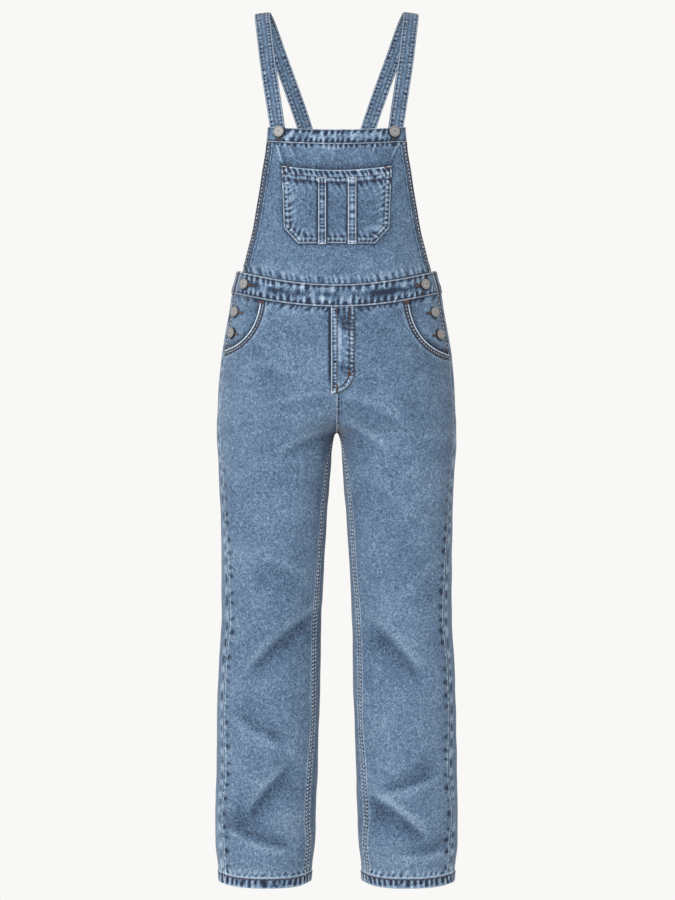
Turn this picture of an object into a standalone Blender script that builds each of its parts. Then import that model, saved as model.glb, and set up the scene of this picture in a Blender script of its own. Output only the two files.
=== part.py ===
# Denim dungarees, filled out as if they were worn, with nobody inside.
# The drawing is in millimetres and becomes metres in add_solid. The origin is the middle of the
# shoulder line, where the wearer carries both straps: +X is the wearer's left, -Y front and +Z up.
# Angles run round each half of the body: 0 is the side, 90 degrees the front, -90 the back.

import math
from collections import namedtuple

import bmesh
import bpy
import numpy as np

MM = 0.001
SEAM_GAP = 0.3  # between pieces that are sewn edge to edge, or lie on each other
SEAM_TURN = 0.002  # radians, the same gap along the round of a leg
CLOTH = 1.6  # wall of the denim panels
HEM_RAISE = 0.9  # how far a turned hem stands proud of its panel
STEP = 0.4  # half the width of the slope at the edge of a turned hem

# Heights
HEM_Z = -1472.0
LEG_HEM_HEIGHT = 20.0
HEM_DIP = 3.0  # how much lower the hem hangs at the middle of the front
WAIST_SIDE_Z = -441.0  # top of the waistband at the side opening, front piece
WAIST_SIDE_BACK_Z = -440.0
WAIST_FRONT_DIP = 29.0  # how much lower the front waistband is at its middle
WAIST_BACK_RISE = 16.0
WAIST_BACK_TURN = 6  # how close to the side the back waistband does its rise
WAISTBAND_HEIGHT = 36.5
WAIST_CURVE = 0.85  # turns an angle into the share of the half width, for the dip
BIB_TOP_Z = -207.5
BIB_TOP_DIP = 7.0
BIB_BAND_HEIGHT = 24.0
BACK_BIB_TOP_Z = -300.0

# Waistband and bib
WAISTBAND_OUT = 1.4  # the folded band stands this far out of the panels
BAND_OUT = 1.0
SIDE_HEM = 12.0
BIB_FOOT_HALF = 158.0
BACK_BIB_TOP_HALF = 30.0
BACK_BIB_FOOT_HALF = 128.0
BACK_BIB_SWEEP = 2.2  # how late the armhole curve swings out towards the side

# Bib pocket, with two strips sewn down over it
POCKET_TOP_HALF = 90.0
POCKET_SIDE_HALF = 86.5
POCKET_FOOT_HALF = 63.0
POCKET_TOP_Z = -273.5
POCKET_TOP_DIP = 8.5
POCKET_CORNER_Z = -376.0
POCKET_FOOT_Z = -402.0
POCKET_CLOTH = 1.4
STRIP_TOP_Z = -294.0
STRIP_FOOT_Z = -403.6
STRIP_CLOTH = 1.6
STRIPS = {"pocket_strip_right": (-23.5, 12.5), "pocket_strip_left": (25.0, 13.5)}  # middle, width

# Fly, on the wearer's left of the middle seam
FLY_FOLD_X = -9.0
FLY_WIDTH = 39.0
FLY_BEND_Z = -614.0
FLY_FOOT_Z = -650.0
FLY_TIP = 6.0
FLY_CLOTH = 1.2

# Scooped hip pockets: the edge is a Bezier curve in width and height
SCOOP = ((127.0, -496.0), (131.0, -540.0), (157.0, -571.0), (192.0, -575.0))
SCOOP_HEM_ROWS = 9
FACING_CLOTH = 1.2
FACING_PAST_SCOOP = 16.0
FACING_FOOT_Z = -592.0
FACING_BEHIND = 2.2  # room between the facing and the inside of the front panel
FACING_RISE = 3.5  # at the side opening the facing comes forward, level with the panels
FACING_LEVEL_SHARE = 0.45  # of its width, level with the panels
FACING_BEHIND_SHARE = 0.72  # of its width, from where it lies behind the front panel
FACING_LEVEL_Z = -545.0
FACING_BEHIND_Z = -568.0

# Straps
STRAP_WIDTH = 26.0
STRAP_THICK = 2.4
STRAP_CROWN = 0.5  # how far the strap's edges bend in towards the body
STRAP_ROWS = 44

# Buttons: radius of the head
BIB_BUTTON_R = 9.2
SIDE_BUTTON_R = 8.5
BUTTON_SIDES = 14
SHANK_R = 3.6
SHANK_HEIGHT = 3.0

Section = namedtuple("Section", "z outer middle inner front back roundness out_inset in_inset")
# One half of the body. Each leg is an oval that is deepest at its middle; above the crotch the oval
# crosses over to the other side and is cut off there. The insets say how far in from the outline
# the outer and inner leg seams show in front.
BODY = [
    Section(-200, 168, 0, -168, 112, 104, 2.4, 6, 0),
    Section(-300, 168, 0, -168, 116, 104, 2.4, 6, 0),
    Section(-436, 168, 0, -168, 113, 106, 2.35, 6, 0),
    Section(-470, 176, 0, -176, 115, 110, 2.3, 6, 0),
    Section(-505, 182, 1, -182, 118, 117, 2.3, 6, 0),
    Section(-555, 191, 10, -190, 121, 127, 2.3, 6, 0),
    Section(-589, 196, 24, -176, 121, 133, 2.3, 6, 0),
    Section(-623, 199.5, 40, -138, 119, 134, 2.3, 6, 0),
    Section(-657, 201, 57, -88, 115, 131, 2.3, 6, 0),
    Section(-680, 202, 68, -52, 111, 126, 2.3, 5, 0),
    Section(-695, 203, 75, -27, 108, 122, 2.3, 5, 0),
    Section(-705, 203, 80, -11, 106, 119, 2.3, 5, 0),
    Section(-711, 203, 82, -2.5, 104, 117, 2.3, 6, 0),
    Section(-716, 203, 84, 3, 103, 116, 2.3, 6, 1),
    Section(-728, 203, 88, 6, 101, 112, 2.3, 6, 2),
    Section(-767, 200.5, 99, 9.4, 95, 101, 2.25, 7, 6),
    Section(-852, 197, 106, 16.2, 86, 89, 2.2, 8, 8),
    Section(-937, 195.5, 108.4, 21.3, 79, 81, 2.2, 12, 8),
    Section(-1022, 195.5, 110.5, 25.5, 74, 75, 2.2, 15, 10),
    Section(-1107, 200, 113.6, 27.2, 70, 73, 2.2, 12, 11),
    Section(-1192, 203, 116.4, 29.8, 68, 72, 2.2, 12, 9),
    Section(-1277, 204, 118.1, 32.3, 67, 70, 2.2, 15, 12),
    Section(-1362, 205.7, 120.3, 34.9, 66, 69, 2.2, 10, 14),
    Section(-1405, 205.7, 121.1, 36.6, 66, 68, 2.2, 14, 10),
    Section(-1447, 201.5, 121.6, 41.7, 65, 67, 2.2, 12, 10),
    Section(-1472, 200.5, 122, 43.4, 65, 66, 2.2, 11, 9),
]

BibRow = namedtuple("BibRow", "z half_width")
BIB = [
    BibRow(-207, 114),
    BibRow(-245, 117),
    BibRow(-278, 122.5),
    BibRow(-311, 127.5),
    BibRow(-345, 133.5),
    BibRow(-378, 139.5),
    BibRow(-411, 148.5),
    BibRow(-445, BIB_FOOT_HALF),
]

Fold = namedtuple("Fold", "side face x0 z0 x1 z1 width depth")
# The largest folds, as troughs between two points. Side 1 is the wearer's left leg, face 1 the front.
FOLDS = [
    Fold(-1, 1, 12, -708, 76, -745, 13, 4),
    Fold(-1, 1, 60, -979, 115, -937, 17, 3),
    Fold(-1, 1, 38, -1009, 145, -1113, 17, 7),
    Fold(-1, 1, 95, -1233, 160, -1196, 15, 3.5),
    Fold(-1, 1, 82, -1273, 152, -1353, 16, 5.5),
    Fold(-1, 1, 82, -1408, 188, -1380, 12, 5),
    Fold(1, 1, 12, -678, 72, -725, 14, 4),
    Fold(1, 1, 60, -1038, 138, -1116, 15, 6),
    Fold(1, 1, 80, -1313, 155, -1281, 12, 3.5),
    Fold(1, 1, 52, -1335, 147, -1388, 12, 5.5),
    Fold(1, 1, 102, -1415, 180, -1403, 11, 4),
    Fold(-1, -1, 20, -735, 95, -790, 16, 5),
    Fold(-1, -1, 50, -1040, 150, -1075, 15, 5),
    Fold(-1, -1, 70, -1110, 160, -1150, 15, 4.5),
    Fold(-1, -1, 60, -1300, 150, -1345, 14, 5),
    Fold(-1, -1, 80, -1400, 170, -1390, 12, 4),
    Fold(1, -1, 18, -728, 88, -772, 15, 5),
    Fold(1, -1, 45, -1018, 145, -1062, 15, 5.5),
    Fold(1, -1, 75, -1090, 165, -1126, 14, 4),
    Fold(1, -1, 55, -1322, 140, -1290, 14, 4.5),
    Fold(1, -1, 70, -1385, 165, -1410, 12, 4),
]

RoutePoint = namedtuple("RoutePoint", "x y z turn drop")
# Middle line of the wearer's left strap, from behind the bib over the shoulder to the back bib.
# Turn is how far the band is turned about the upright, drop how far its outer edge hangs lower.
STRAP_ROUTE = [
    RoutePoint(95.5, -95.6, -238, 19, 0),
    RoutePoint(97.6, -94.3, -216, 19, 0),
    RoutePoint(99.8, -92.4, -198, 19, 0),
    RoutePoint(106.9, -84.5, -151, 15, 0),
    RoutePoint(115.5, -66.0, -94, 10, 2),
    RoutePoint(122.5, -38.0, -36, 5, 5),
    RoutePoint(126.0, -14.0, -7, 1, 8),
    RoutePoint(124.5, 12.0, -1, -2, 8),
    RoutePoint(114.5, 45.0, -20, -4, 6),
    RoutePoint(98.0, 70.0, -64, -5, 3),
    RoutePoint(76.5, 84.0, -121, -5, 0),
    RoutePoint(60.0, 91.0, -168, -5, 0),
    RoutePoint(40.0, 97.0, -228, -4, 0),
    RoutePoint(20.5, 99.7, -284, -2, 0),
    RoutePoint(15.2, 100.1, -306, -1, 0),
    RoutePoint(14.6, 100.3, -322, -1, 0),
]

ButtonPlace = namedtuple("ButtonPlace", "name x_left z_left x_right z_right radius lies_on faced")
# Left is the wearer's. Faced is how far the head turns from the cloth's own direction to the front.
BUTTONS = [
    ButtonPlace("button_bib", 94.1, -216.4, 94.1, -216.4, BIB_BUTTON_R, BAND_OUT, 0.0),
    ButtonPlace("button_waist", 144.9, -466.9, 151.8, -465.8, SIDE_BUTTON_R, WAISTBAND_OUT, 0.26),
    ButtonPlace("button_hip_upper", 162.8, -512.7, 169.3, -511.2, SIDE_BUTTON_R, -SEAM_GAP, 0.3),
    ButtonPlace("button_hip_lower", 171.8, -549.7, 175.0, -546.9, SIDE_BUTTON_R, -SEAM_GAP, 0.2),
]

DENIM = ("denim", (0.165, 0.255, 0.385, 1), 0.85, 0.0)
DENIM_FADED = ("denim_faded", (0.225, 0.325, 0.455, 1), 0.85, 0.0)
BUTTON_METAL = ("button_metal", (0.56, 0.54, 0.52, 1), 0.38, 1.0)


# Tables and curves


def smooth(rows, column, z):
    """A table's column at heights z, on a curve that stays between its rows."""
    heights = np.array([row.z for row in rows], float)[::-1]
    values = np.array([getattr(row, column) for row in rows], float)[::-1]
    rise = np.diff(values) / np.diff(heights)
    slope = np.zeros(len(values))
    same_way = rise[:-1] * rise[1:] > 0
    inside = np.where(same_way, rise[:-1] * rise[1:], 0) * 2
    slope[1:-1] = inside / np.where(same_way, rise[:-1] + rise[1:], 1)
    slope[0], slope[-1] = rise[0], rise[-1]
    z = np.clip(z, heights[0], heights[-1])
    i = np.clip(np.searchsorted(heights, z) - 1, 0, len(heights) - 2)
    step = heights[i + 1] - heights[i]
    t = (z - heights[i]) / step
    return (
        values[i] * (1 + 2 * t) * (1 - t) ** 2
        + values[i + 1] * t**2 * (3 - 2 * t)
        + step * (slope[i] * t * (1 - t) ** 2 - slope[i + 1] * t**2 * (1 - t))
    )


def curve_through(points, count):
    """Evenly shared points on a smooth curve through rows of any number of columns."""
    points = np.array(points, float)
    ends = np.vstack([2 * points[0] - points[1], points, 2 * points[-1] - points[-2]])
    run = np.linalg.norm(np.diff(points[:, :3], axis=0), axis=1)
    at = np.concatenate([[0], np.cumsum(run)])
    along = np.linspace(0, at[-1], count)
    i = np.clip(np.searchsorted(at, along, side="right") - 1, 0, len(points) - 2)
    t = ((along - at[i]) / run[i])[:, None]
    a, b, c, d = ends[i], ends[i + 1], ends[i + 2], ends[i + 3]
    return 0.5 * (2 * b + (c - a) * t + (2 * a - 5 * b + 4 * c - d) * t**2 + (3 * b - a - 3 * c + d) * t**3)


def bezier(corners, t):
    """Points at t on the cubic curve of four corners."""
    a, b, c, d = (np.array(corner) for corner in corners)
    t = np.asarray(t)[:, None]
    return a * (1 - t) ** 3 + 3 * b * t * (1 - t) ** 2 + 3 * c * t**2 * (1 - t) + d * t**3


# The shape of the worn cloth


def fold_depth(side, face, x, z):
    """How far the folds move the cloth out at each point, negative in a trough."""
    moved = np.zeros(np.broadcast(side, face, x, z).shape)
    for fold in FOLDS:
        run = np.array([fold.x1 - fold.x0, fold.z1 - fold.z0])
        share = ((x - fold.x0) * run[0] + (z - fold.z0) * run[1]) / run.dot(run)
        share = np.clip(share, 0, 1)
        away = np.hypot(x - fold.x0 - share * run[0], z - fold.z0 - share * run[1]) / fold.width
        trough = -fold.depth * (1 - 0.45 * away**2) * np.exp(-(away**2) / 2)
        moved += np.where((side == fold.side) & (face == fold.face), trough, 0)
    return moved


def skin(side, angle, z, out):
    """Points of the cloth's outside, moved out by out. Side is 1 on the wearer's left, -1 on the right."""
    side, angle, z, out = np.broadcast_arrays(side, angle, z, out)
    power = 2 / smooth(BODY, "roundness", z)
    across, forward = np.cos(angle), np.sin(angle)
    middle = smooth(BODY, "middle", z)
    edge = np.where(across > 0, smooth(BODY, "outer", z), smooth(BODY, "inner", z))
    half = np.abs(edge - middle)
    depth = np.where(forward > 0, smooth(BODY, "front", z), smooth(BODY, "back", z))
    width_share = np.sign(across) * np.abs(across) ** power
    depth_share = np.sign(forward) * np.abs(forward) ** power
    folds = fold_depth(side, np.where(forward > 0, 1, -1), middle + half * width_share, z)
    pressed = folds * np.abs(forward)
    x = middle + (half + out) * width_share
    return np.stack([side * x, -(depth + out + pressed) * depth_share, z], axis=-1)


def angle_at(x, z):
    """The angle on the front half at distance x from the middle plane."""
    middle = smooth(BODY, "middle", z)
    edge = np.where(x > middle, smooth(BODY, "outer", z), smooth(BODY, "inner", z))
    share = np.clip((x - middle) / np.abs(edge - middle), -1, 1)
    return np.arccos(np.sign(share) * np.abs(share) ** (smooth(BODY, "roundness", z) / 2))


def on_front(x, z, out):
    return skin(np.where(x < 0, -1, 1), angle_at(np.abs(x), z), z, out)


def on_back(x, z, out):
    return skin(np.where(x < 0, -1, 1), -angle_at(np.abs(x), z), z, out)


def side_seam(z):
    """Angle of the outer leg seam and of the side opening above it."""
    return angle_at(smooth(BODY, "outer", z) - smooth(BODY, "out_inset", z), z)


def inner_seam(z):
    """Angle of the front panel's inner edge: the middle seam, then the inner leg seam."""
    below = smooth(BODY, "inner", z) + smooth(BODY, "in_inset", z)
    crotch = below > SEAM_GAP / 2
    return angle_at(np.maximum(below, SEAM_GAP / 2), z) - np.where(crotch, SEAM_TURN, 0)


def inner_seam_back(z):
    """The same edge on the back panel, which reaches round past the inner leg below the crotch."""
    front = inner_seam(z)
    below = smooth(BODY, "inner", z) + smooth(BODY, "in_inset", z) > SEAM_GAP / 2
    return np.where(below, front + 2 * SEAM_TURN - 2 * math.pi, -front)


def panel_angles(outer, inner, z, share):
    """Angles across a leg panel. Only the columns near the inner edge follow its jump at the crotch."""
    heights, degrees = [-780, -713, -680, -600, -505], [180, 150, 130, 100, 90]
    even = np.radians(np.interp(z, heights, degrees)) * np.sign(inner - outer)
    outer, inner, even = outer[:, None], inner[:, None], even[:, None]
    return outer * (1 - share) + even * share + (inner - even) * share**4


def waist_front(angle, down):
    """Height of the front waistband's top edge, or of a line down below it."""
    share = np.abs(np.cos(angle)) ** WAIST_CURVE
    return WAIST_SIDE_Z - WAIST_FRONT_DIP * (1 - share**2) - down


def waist_back(angle, down):
    share = np.abs(np.cos(angle)) ** WAIST_CURVE
    side_drop = WAIST_SIDE_BACK_Z - WAIST_SIDE_Z
    behind = WAIST_BACK_RISE * (1 - share**WAIST_BACK_TURN)
    ahead = -WAIST_FRONT_DIP * (1 - share**2)
    rise = np.where(np.sin(angle) > 0, ahead, behind)
    return WAIST_SIDE_BACK_Z + rise - down * (1 + side_drop / WAISTBAND_HEIGHT)


# Solids


def material(name, colour, roughness, metallic):
    made = bpy.data.materials.get(name) or bpy.data.materials.new(name)
    made.use_nodes = True
    shader = made.node_tree.nodes["Principled BSDF"]
    shader.inputs["Base Color"].default_value = colour
    shader.inputs["Roughness"].default_value = roughness
    shader.inputs["Metallic"].default_value = metallic
    return made


def add_solid(name, points, faces, finish):
    """One closed mesh object, in metres, with its faces turned outwards."""
    mesh = bpy.data.meshes.new(name)
    mesh.from_pydata([tuple(p) for p in np.asarray(points) * MM], [], faces)
    work = bmesh.new()
    work.from_mesh(mesh)
    if work.calc_volume(signed=True) < 0:
        bmesh.ops.reverse_faces(work, faces=work.faces)
    work.to_mesh(mesh)
    work.free()
    mesh.shade_smooth()
    mesh.set_sharp_from_angle(angle=math.radians(40))
    mesh.materials.append(material(*finish))
    made = bpy.data.objects.new(name, mesh)
    bpy.context.scene.collection.objects.link(made)
    return made


def wall(name, outside, inside, finish):
    """Cloth between two grids of points, rows by columns, closed round its edges."""
    rows, columns = outside.shape[:2]
    count = rows * columns
    faces = []
    for r in range(rows - 1):
        for c in range(columns - 1):
            a = r * columns + c
            quad = (a, a + 1, a + columns + 1, a + columns)
            faces.append(quad)
            faces.append(tuple(count + i for i in reversed(quad)))
    rim = [c for c in range(columns)]
    rim += [r * columns + columns - 1 for r in range(1, rows)]
    rim += [(rows - 1) * columns + c for c in range(columns - 2, -1, -1)]
    rim += [r * columns for r in range(rows - 2, 0, -1)]
    for i, a in enumerate(rim):
        b = rim[(i + 1) % len(rim)]
        faces.append((b, a, count + a, count + b))
    points = np.concatenate([outside.reshape(-1, 3), inside.reshape(-1, 3)])
    return add_solid(name, points, faces, finish)


def hemmed_columns(half_width, hem, count):
    """Places across a piece, with a narrow slope where the turned hem on each side ends."""
    inner = half_width - hem
    middle = np.linspace(-(inner - STEP), inner - STEP, count)
    return np.concatenate([[-half_width, -(inner + STEP)], middle, [inner + STEP, half_width]])


def ease(low, high, value):
    """0 at low, 1 at high, and a soft slope between them."""
    t = np.clip((value - low) / (high - low), 0, 1)
    return t * t * (3 - 2 * t)


def between(top, foot, rows):
    """Rows of heights from the top edge to the foot edge."""
    share = np.linspace(0, 1, rows)[:, None]
    return top[None, :] * (1 - share) + foot[None, :] * share


# Pieces of the upper part


def bib_edge(x):
    """Height of the bib's top edge."""
    return BIB_TOP_Z - BIB_TOP_DIP * (1 - (x / BIB[0].half_width) ** 2)


def make_bib():
    columns = 11
    widest = hemmed_columns(BIB_FOOT_HALF, SIDE_HEM, columns)
    foot = waist_front(angle_at(np.abs(widest), WAIST_SIDE_Z), 0) + SEAM_GAP
    top = bib_edge(hemmed_columns(BIB[0].half_width, SIDE_HEM, columns)) - BIB_BAND_HEIGHT - SEAM_GAP
    z = between(top, foot, 10)
    halves = smooth(BIB, "half_width", z[:, 0])
    x = np.array([hemmed_columns(half, SIDE_HEM, columns) for half in halves])
    hem = np.abs(x) > halves[:, None] - SIDE_HEM
    wall("bib", on_front(x, z, np.where(hem, HEM_RAISE, 0)), on_front(x, z, -CLOTH), DENIM)


def make_bib_band():
    x = np.linspace(-1, 1, 15)
    top = bib_edge(x * BIB[0].half_width)
    z = between(top, top - BIB_BAND_HEIGHT, 3)
    x = x[None, :] * smooth(BIB, "half_width", z)
    wall("bib_band", on_front(x, z, BAND_OUT), on_front(x, z, -CLOTH), DENIM_FADED)


def pocket_half(z):
    """Half width of the bib pocket, with its two cut corners."""
    side = np.interp(z, [POCKET_CORNER_Z, POCKET_TOP_Z], [POCKET_SIDE_HALF, POCKET_TOP_HALF])
    corner = np.interp(z, [POCKET_FOOT_Z, POCKET_CORNER_Z], [POCKET_FOOT_HALF, POCKET_SIDE_HALF])
    return np.where(z > POCKET_CORNER_Z, side, corner)


def make_pocket():
    share = np.linspace(-1, 1, 21)
    top = POCKET_TOP_Z - POCKET_TOP_DIP * (1 - share**2)
    straight = between(top, np.full(len(share), POCKET_CORNER_Z), 5)
    corner = between(np.full(len(share), POCKET_CORNER_Z), np.full(len(share), POCKET_FOOT_Z), 3)
    z = np.concatenate([straight, corner[1:]])
    x = share[None, :] * pocket_half(z)
    low, high = SEAM_GAP, SEAM_GAP + POCKET_CLOTH
    wall("bib_pocket", on_front(x, z, high), on_front(x, z, low), DENIM)
    low = high + SEAM_GAP
    for name, (middle, width) in STRIPS.items():
        x = middle + width * np.array([[-0.5, 0, 0.5]])
        z = between(np.full(3, STRIP_TOP_Z), np.full(3, STRIP_FOOT_Z), 8)
        x = np.repeat(x, len(z), axis=0)
        wall(name, on_front(x, z, low + STRIP_CLOTH), on_front(x, z, low), DENIM_FADED)


def make_back_bib():
    share = np.linspace(-1, 1, 13)
    foot = waist_back(-angle_at(np.abs(share) * BACK_BIB_FOOT_HALF, WAIST_SIDE_BACK_Z), 0) + SEAM_GAP
    z = between(np.full(len(share), BACK_BIB_TOP_Z), foot, 9)
    down = np.linspace(0, 1, len(z))[:, None]
    half = BACK_BIB_TOP_HALF + (BACK_BIB_FOOT_HALF - BACK_BIB_TOP_HALF) * down**BACK_BIB_SWEEP
    x = share[None, :] * half
    wall("back_bib", on_back(x, z, 0), on_back(x, z, -CLOTH), DENIM)


def make_waistbands():
    edge = float(side_seam(WAIST_SIDE_Z - WAISTBAND_HEIGHT / 2)) + SEAM_TURN / 2
    angle = np.linspace(edge, math.pi - edge, 25)
    z = between(waist_front(angle, 0), waist_front(angle, WAISTBAND_HEIGHT), 3)
    angle = np.repeat(angle[None, :], len(z), axis=0)
    wall("waistband_front", skin(1, angle, z, WAISTBAND_OUT), skin(1, angle, z, -CLOTH), DENIM_FADED)
    edge -= SEAM_TURN
    angle = np.linspace(edge, -math.pi - edge, 27)
    z = between(waist_back(angle, 0), waist_back(angle, WAISTBAND_HEIGHT), 3)
    angle = np.repeat(angle[None, :], len(z), axis=0)
    wall("waistband_back", skin(1, angle, z, WAISTBAND_OUT), skin(1, angle, z, -CLOTH), DENIM_FADED)


def make_strap(name, side):
    route = curve_through(STRAP_ROUTE, STRAP_ROWS)
    middle, turn, drop = route[:, :3], np.radians(route[:, 3]), np.radians(route[:, 4])
    along = np.gradient(middle, axis=0)
    along /= np.linalg.norm(along, axis=1)[:, None]
    across = np.stack([np.cos(turn) * np.cos(drop), np.sin(turn) * np.cos(drop), -np.sin(drop)], axis=1)
    across -= along * (across * along).sum(1)[:, None]
    across /= np.linalg.norm(across, axis=1)[:, None]
    out = np.cross(across, along)
    place = np.array([-1, 0, 1]) * STRAP_WIDTH / 2
    crown = np.array([-1, 0, -1]) * STRAP_CROWN
    flat = middle[:, None] + across[:, None] * place[None, :, None] + out[:, None] * crown[None, :, None]
    mirror = np.array([side, 1, 1])
    thick = out[:, None] * STRAP_THICK / 2
    wall(name, (flat + thick) * mirror, (flat - thick) * mirror, DENIM)


# Pieces of the lower part


def leg_heights():
    """Heights of the rows down a leg: close together round the crotch, then even, then the hem."""
    hips = [-612, -636, -657, -673, -686, -696, -703, -708, -711]
    crotch = [-713.6, -716.5, -722, -733, -750]
    hem_top = HEM_Z + LEG_HEM_HEIGHT
    thigh_to_hem = np.linspace(-778, hem_top + 0.6, 22)
    return np.concatenate([hips, crotch, thigh_to_hem, [hem_top - 0.6, HEM_Z]])


def hem_out(z):
    return np.where(z < HEM_Z + LEG_HEM_HEIGHT, HEM_RAISE, 0)


def leg_front(name, side):
    """Front panel, whose upper outer corner is cut away along the scooped pocket."""
    share = np.linspace(0, 1, 10)[None, :]
    scoop = bezier(SCOOP, np.linspace(0, 1, SCOOP_HEM_ROWS))
    centre_top = float(waist_front(math.pi / 2, WAISTBAND_HEIGHT)) - SEAM_GAP
    centre = np.linspace(centre_top, -592, SCOOP_HEM_ROWS)
    outer_angle = angle_at(scoop[:, 0], scoop[:, 1])
    outer_angle[-1] = side_seam(scoop[-1, 1]) + SEAM_TURN / 2
    top_angle = outer_angle[0] + (inner_seam(centre_top) - outer_angle[0]) * share
    seam = waist_front(top_angle, WAISTBAND_HEIGHT) - SEAM_GAP
    scoop[0, 1] = seam[0, 0]
    z = scoop[:, 1:] * (1 - share) + centre[:, None] * share
    bow = seam - z[0]
    z = z + bow * np.linspace(1, 0, SCOOP_HEM_ROWS)[:, None] ** 2
    low = leg_heights()
    outer_angle = np.concatenate([outer_angle, side_seam(low) + SEAM_TURN / 2])
    z = np.concatenate([z, np.repeat(low[:, None], share.shape[1], axis=1)])
    inner_angle = inner_seam(z[:, -1])
    angle = panel_angles(outer_angle, inner_angle, z[:, -1], share)
    out = hem_out(z)
    near_hem = ease(HEM_Z + 2.5 * LEG_HEM_HEIGHT, HEM_Z + 1.1 * LEG_HEM_HEIGHT, z)
    z = z - HEM_DIP * near_hem * (1 - (2 * share - 1) ** 2)
    wall(name, skin(side, angle, z, out), skin(side, angle, z, -CLOTH), DENIM)


def leg_back(name, side):
    """Back panel, from the side opening round the seat to the middle seam."""
    share = np.linspace(0, 1, 12)[None, :]
    top_rows = 5
    first = float(side_seam(WAIST_SIDE_Z - WAISTBAND_HEIGHT)) - SEAM_TURN / 2
    seam_angle = first + (-math.pi / 2 - first) * share
    seam = waist_back(seam_angle, WAISTBAND_HEIGHT) - SEAM_GAP
    hips = np.full(share.shape[1], -592.0)
    z = np.concatenate([between(seam[0], hips, top_rows), np.repeat(leg_heights()[:, None], share.shape[1], axis=1)])
    outer_angle = side_seam(z[:, 0]) - SEAM_TURN / 2
    inner_angle = inner_seam_back(z[:, -1])
    angle = panel_angles(outer_angle, inner_angle, z[:, -1], share)
    wall(name, skin(side, angle, z, hem_out(z)), skin(side, angle, z, -CLOTH), DENIM)


def hip_facing(name, side):
    """The pocket's facing, which shows in the scoop and carries the side buttonholes."""
    share = np.linspace(0, 1, 8)
    past = SCOOP[0][0] - FACING_PAST_SCOOP
    z_middle = (WAIST_SIDE_Z - WAISTBAND_HEIGHT + FACING_FOOT_Z) / 2
    first = float(side_seam(z_middle)) + SEAM_TURN
    angle = first + (float(angle_at(past, z_middle)) - first) * share
    top = waist_front(angle, WAISTBAND_HEIGHT) - SEAM_GAP
    z = between(top, np.full(len(share), FACING_FOOT_Z), 12)
    outer_angle = side_seam(z[:, 0]) + SEAM_TURN
    inner_angle = angle_at(np.full(len(z), past), z[:, -1])
    angle = outer_angle[:, None] * (1 - share) + inner_angle[:, None] * share
    level = 1 - ease(FACING_LEVEL_SHARE, FACING_BEHIND_SHARE, share)
    level = level * (1 - ease(FACING_LEVEL_Z, FACING_BEHIND_Z, z))
    high = -CLOTH - FACING_BEHIND + FACING_RISE * level
    wall(name, skin(side, angle, z, high), skin(side, angle, z, high - FACING_CLOTH), DENIM_FADED)


def make_fly():
    """The fly's facing, with a J-shaped outline."""
    share = np.linspace(0, 1, 5)[None, :]
    bend = np.linspace(0, math.pi / 2, 5)
    straight_z = np.linspace(WAIST_SIDE_Z - WAIST_FRONT_DIP - WAISTBAND_HEIGHT - SEAM_GAP, FLY_BEND_Z, 6)
    bent_z = FLY_BEND_Z + (FLY_FOOT_Z - FLY_BEND_Z) * np.sin(bend[1:])
    z = np.concatenate([straight_z, bent_z])
    width = np.concatenate([np.full(6, FLY_WIDTH), FLY_TIP + (FLY_WIDTH - FLY_TIP) * np.cos(bend[1:])])
    x = FLY_FOLD_X + width[:, None] * share
    z = np.repeat(z[:, None], share.shape[1], axis=1)
    wall("fly", on_front(x, z, SEAM_GAP + FLY_CLOTH), on_front(x, z, SEAM_GAP), DENIM)


# Buttons


def spokes(out, across):
    """Directions all round, square to out, the first one nearest to across."""
    across = across - out * out.dot(across)
    across /= np.linalg.norm(across)
    turn = np.linspace(0, 2 * math.pi, BUTTON_SIDES, endpoint=False)
    return np.cos(turn)[:, None] * across + np.sin(turn)[:, None] * np.cross(out, across)


def make_button(place, name, side):
    """A turned metal button on its shank, standing on the cloth."""
    r, low = place.radius, SHANK_HEIGHT
    profile = [
        (SHANK_R, 0.0),
        (SHANK_R, low),
        (r - 0.7, low + 0.2),
        (r, low + 0.9),
        (r - 0.5, low + 1.7),
        (r - 1.6, low + 1.9),
        (r - 2.4, low + 1.6),
    ]
    x, z = (place.x_left, place.z_left) if side > 0 else (place.x_right, place.z_right)
    angle = angle_at(x, z)
    seat = skin(side, angle, z, place.lies_on + SEAM_GAP)
    beside = skin(side, angle + 0.02, z, place.lies_on + SEAM_GAP)
    below = skin(side, angle, z - 2, place.lies_on + SEAM_GAP)
    out = np.cross(beside - seat, below - seat)
    out *= -np.sign(out[1]) / np.linalg.norm(out)
    flat_ring = spokes(out, beside - seat)
    out += place.faced * (np.array([0, -1, 0]) - out)
    out /= np.linalg.norm(out)
    ring = spokes(out, beside - seat)
    points = [seat + SHANK_R * spoke for spoke in flat_ring]
    points += [seat + radius * spoke + height * out for radius, height in profile[1:] for spoke in ring]
    foot, top = len(points), len(points) + 1
    points += [seat, seat + profile[-1][1] * out]
    faces = []
    for i in range(BUTTON_SIDES):
        j = (i + 1) % BUTTON_SIDES
        for level in range(len(profile) - 1):
            low, high = level * BUTTON_SIDES, (level + 1) * BUTTON_SIDES
            faces.append((low + i, low + j, high + j, high + i))
        last = (len(profile) - 1) * BUTTON_SIDES
        faces.append((foot, j, i))
        faces.append((top, last + i, last + j))
    add_solid(name, points, faces, BUTTON_METAL)


def main():
    for old in list(bpy.data.objects):
        bpy.data.objects.remove(old)
    make_bib()
    make_bib_band()
    make_pocket()
    make_back_bib()
    make_waistbands()
    make_fly()
    for word, side in (("left", 1), ("right", -1)):
        make_strap(f"strap_{word}", side)
        leg_front(f"leg_front_{word}", side)
        leg_back(f"leg_back_{word}", side)
        hip_facing(f"hip_facing_{word}", side)
        for place in BUTTONS:
            make_button(place, f"{place.name}_{word}", side)


main()
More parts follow.
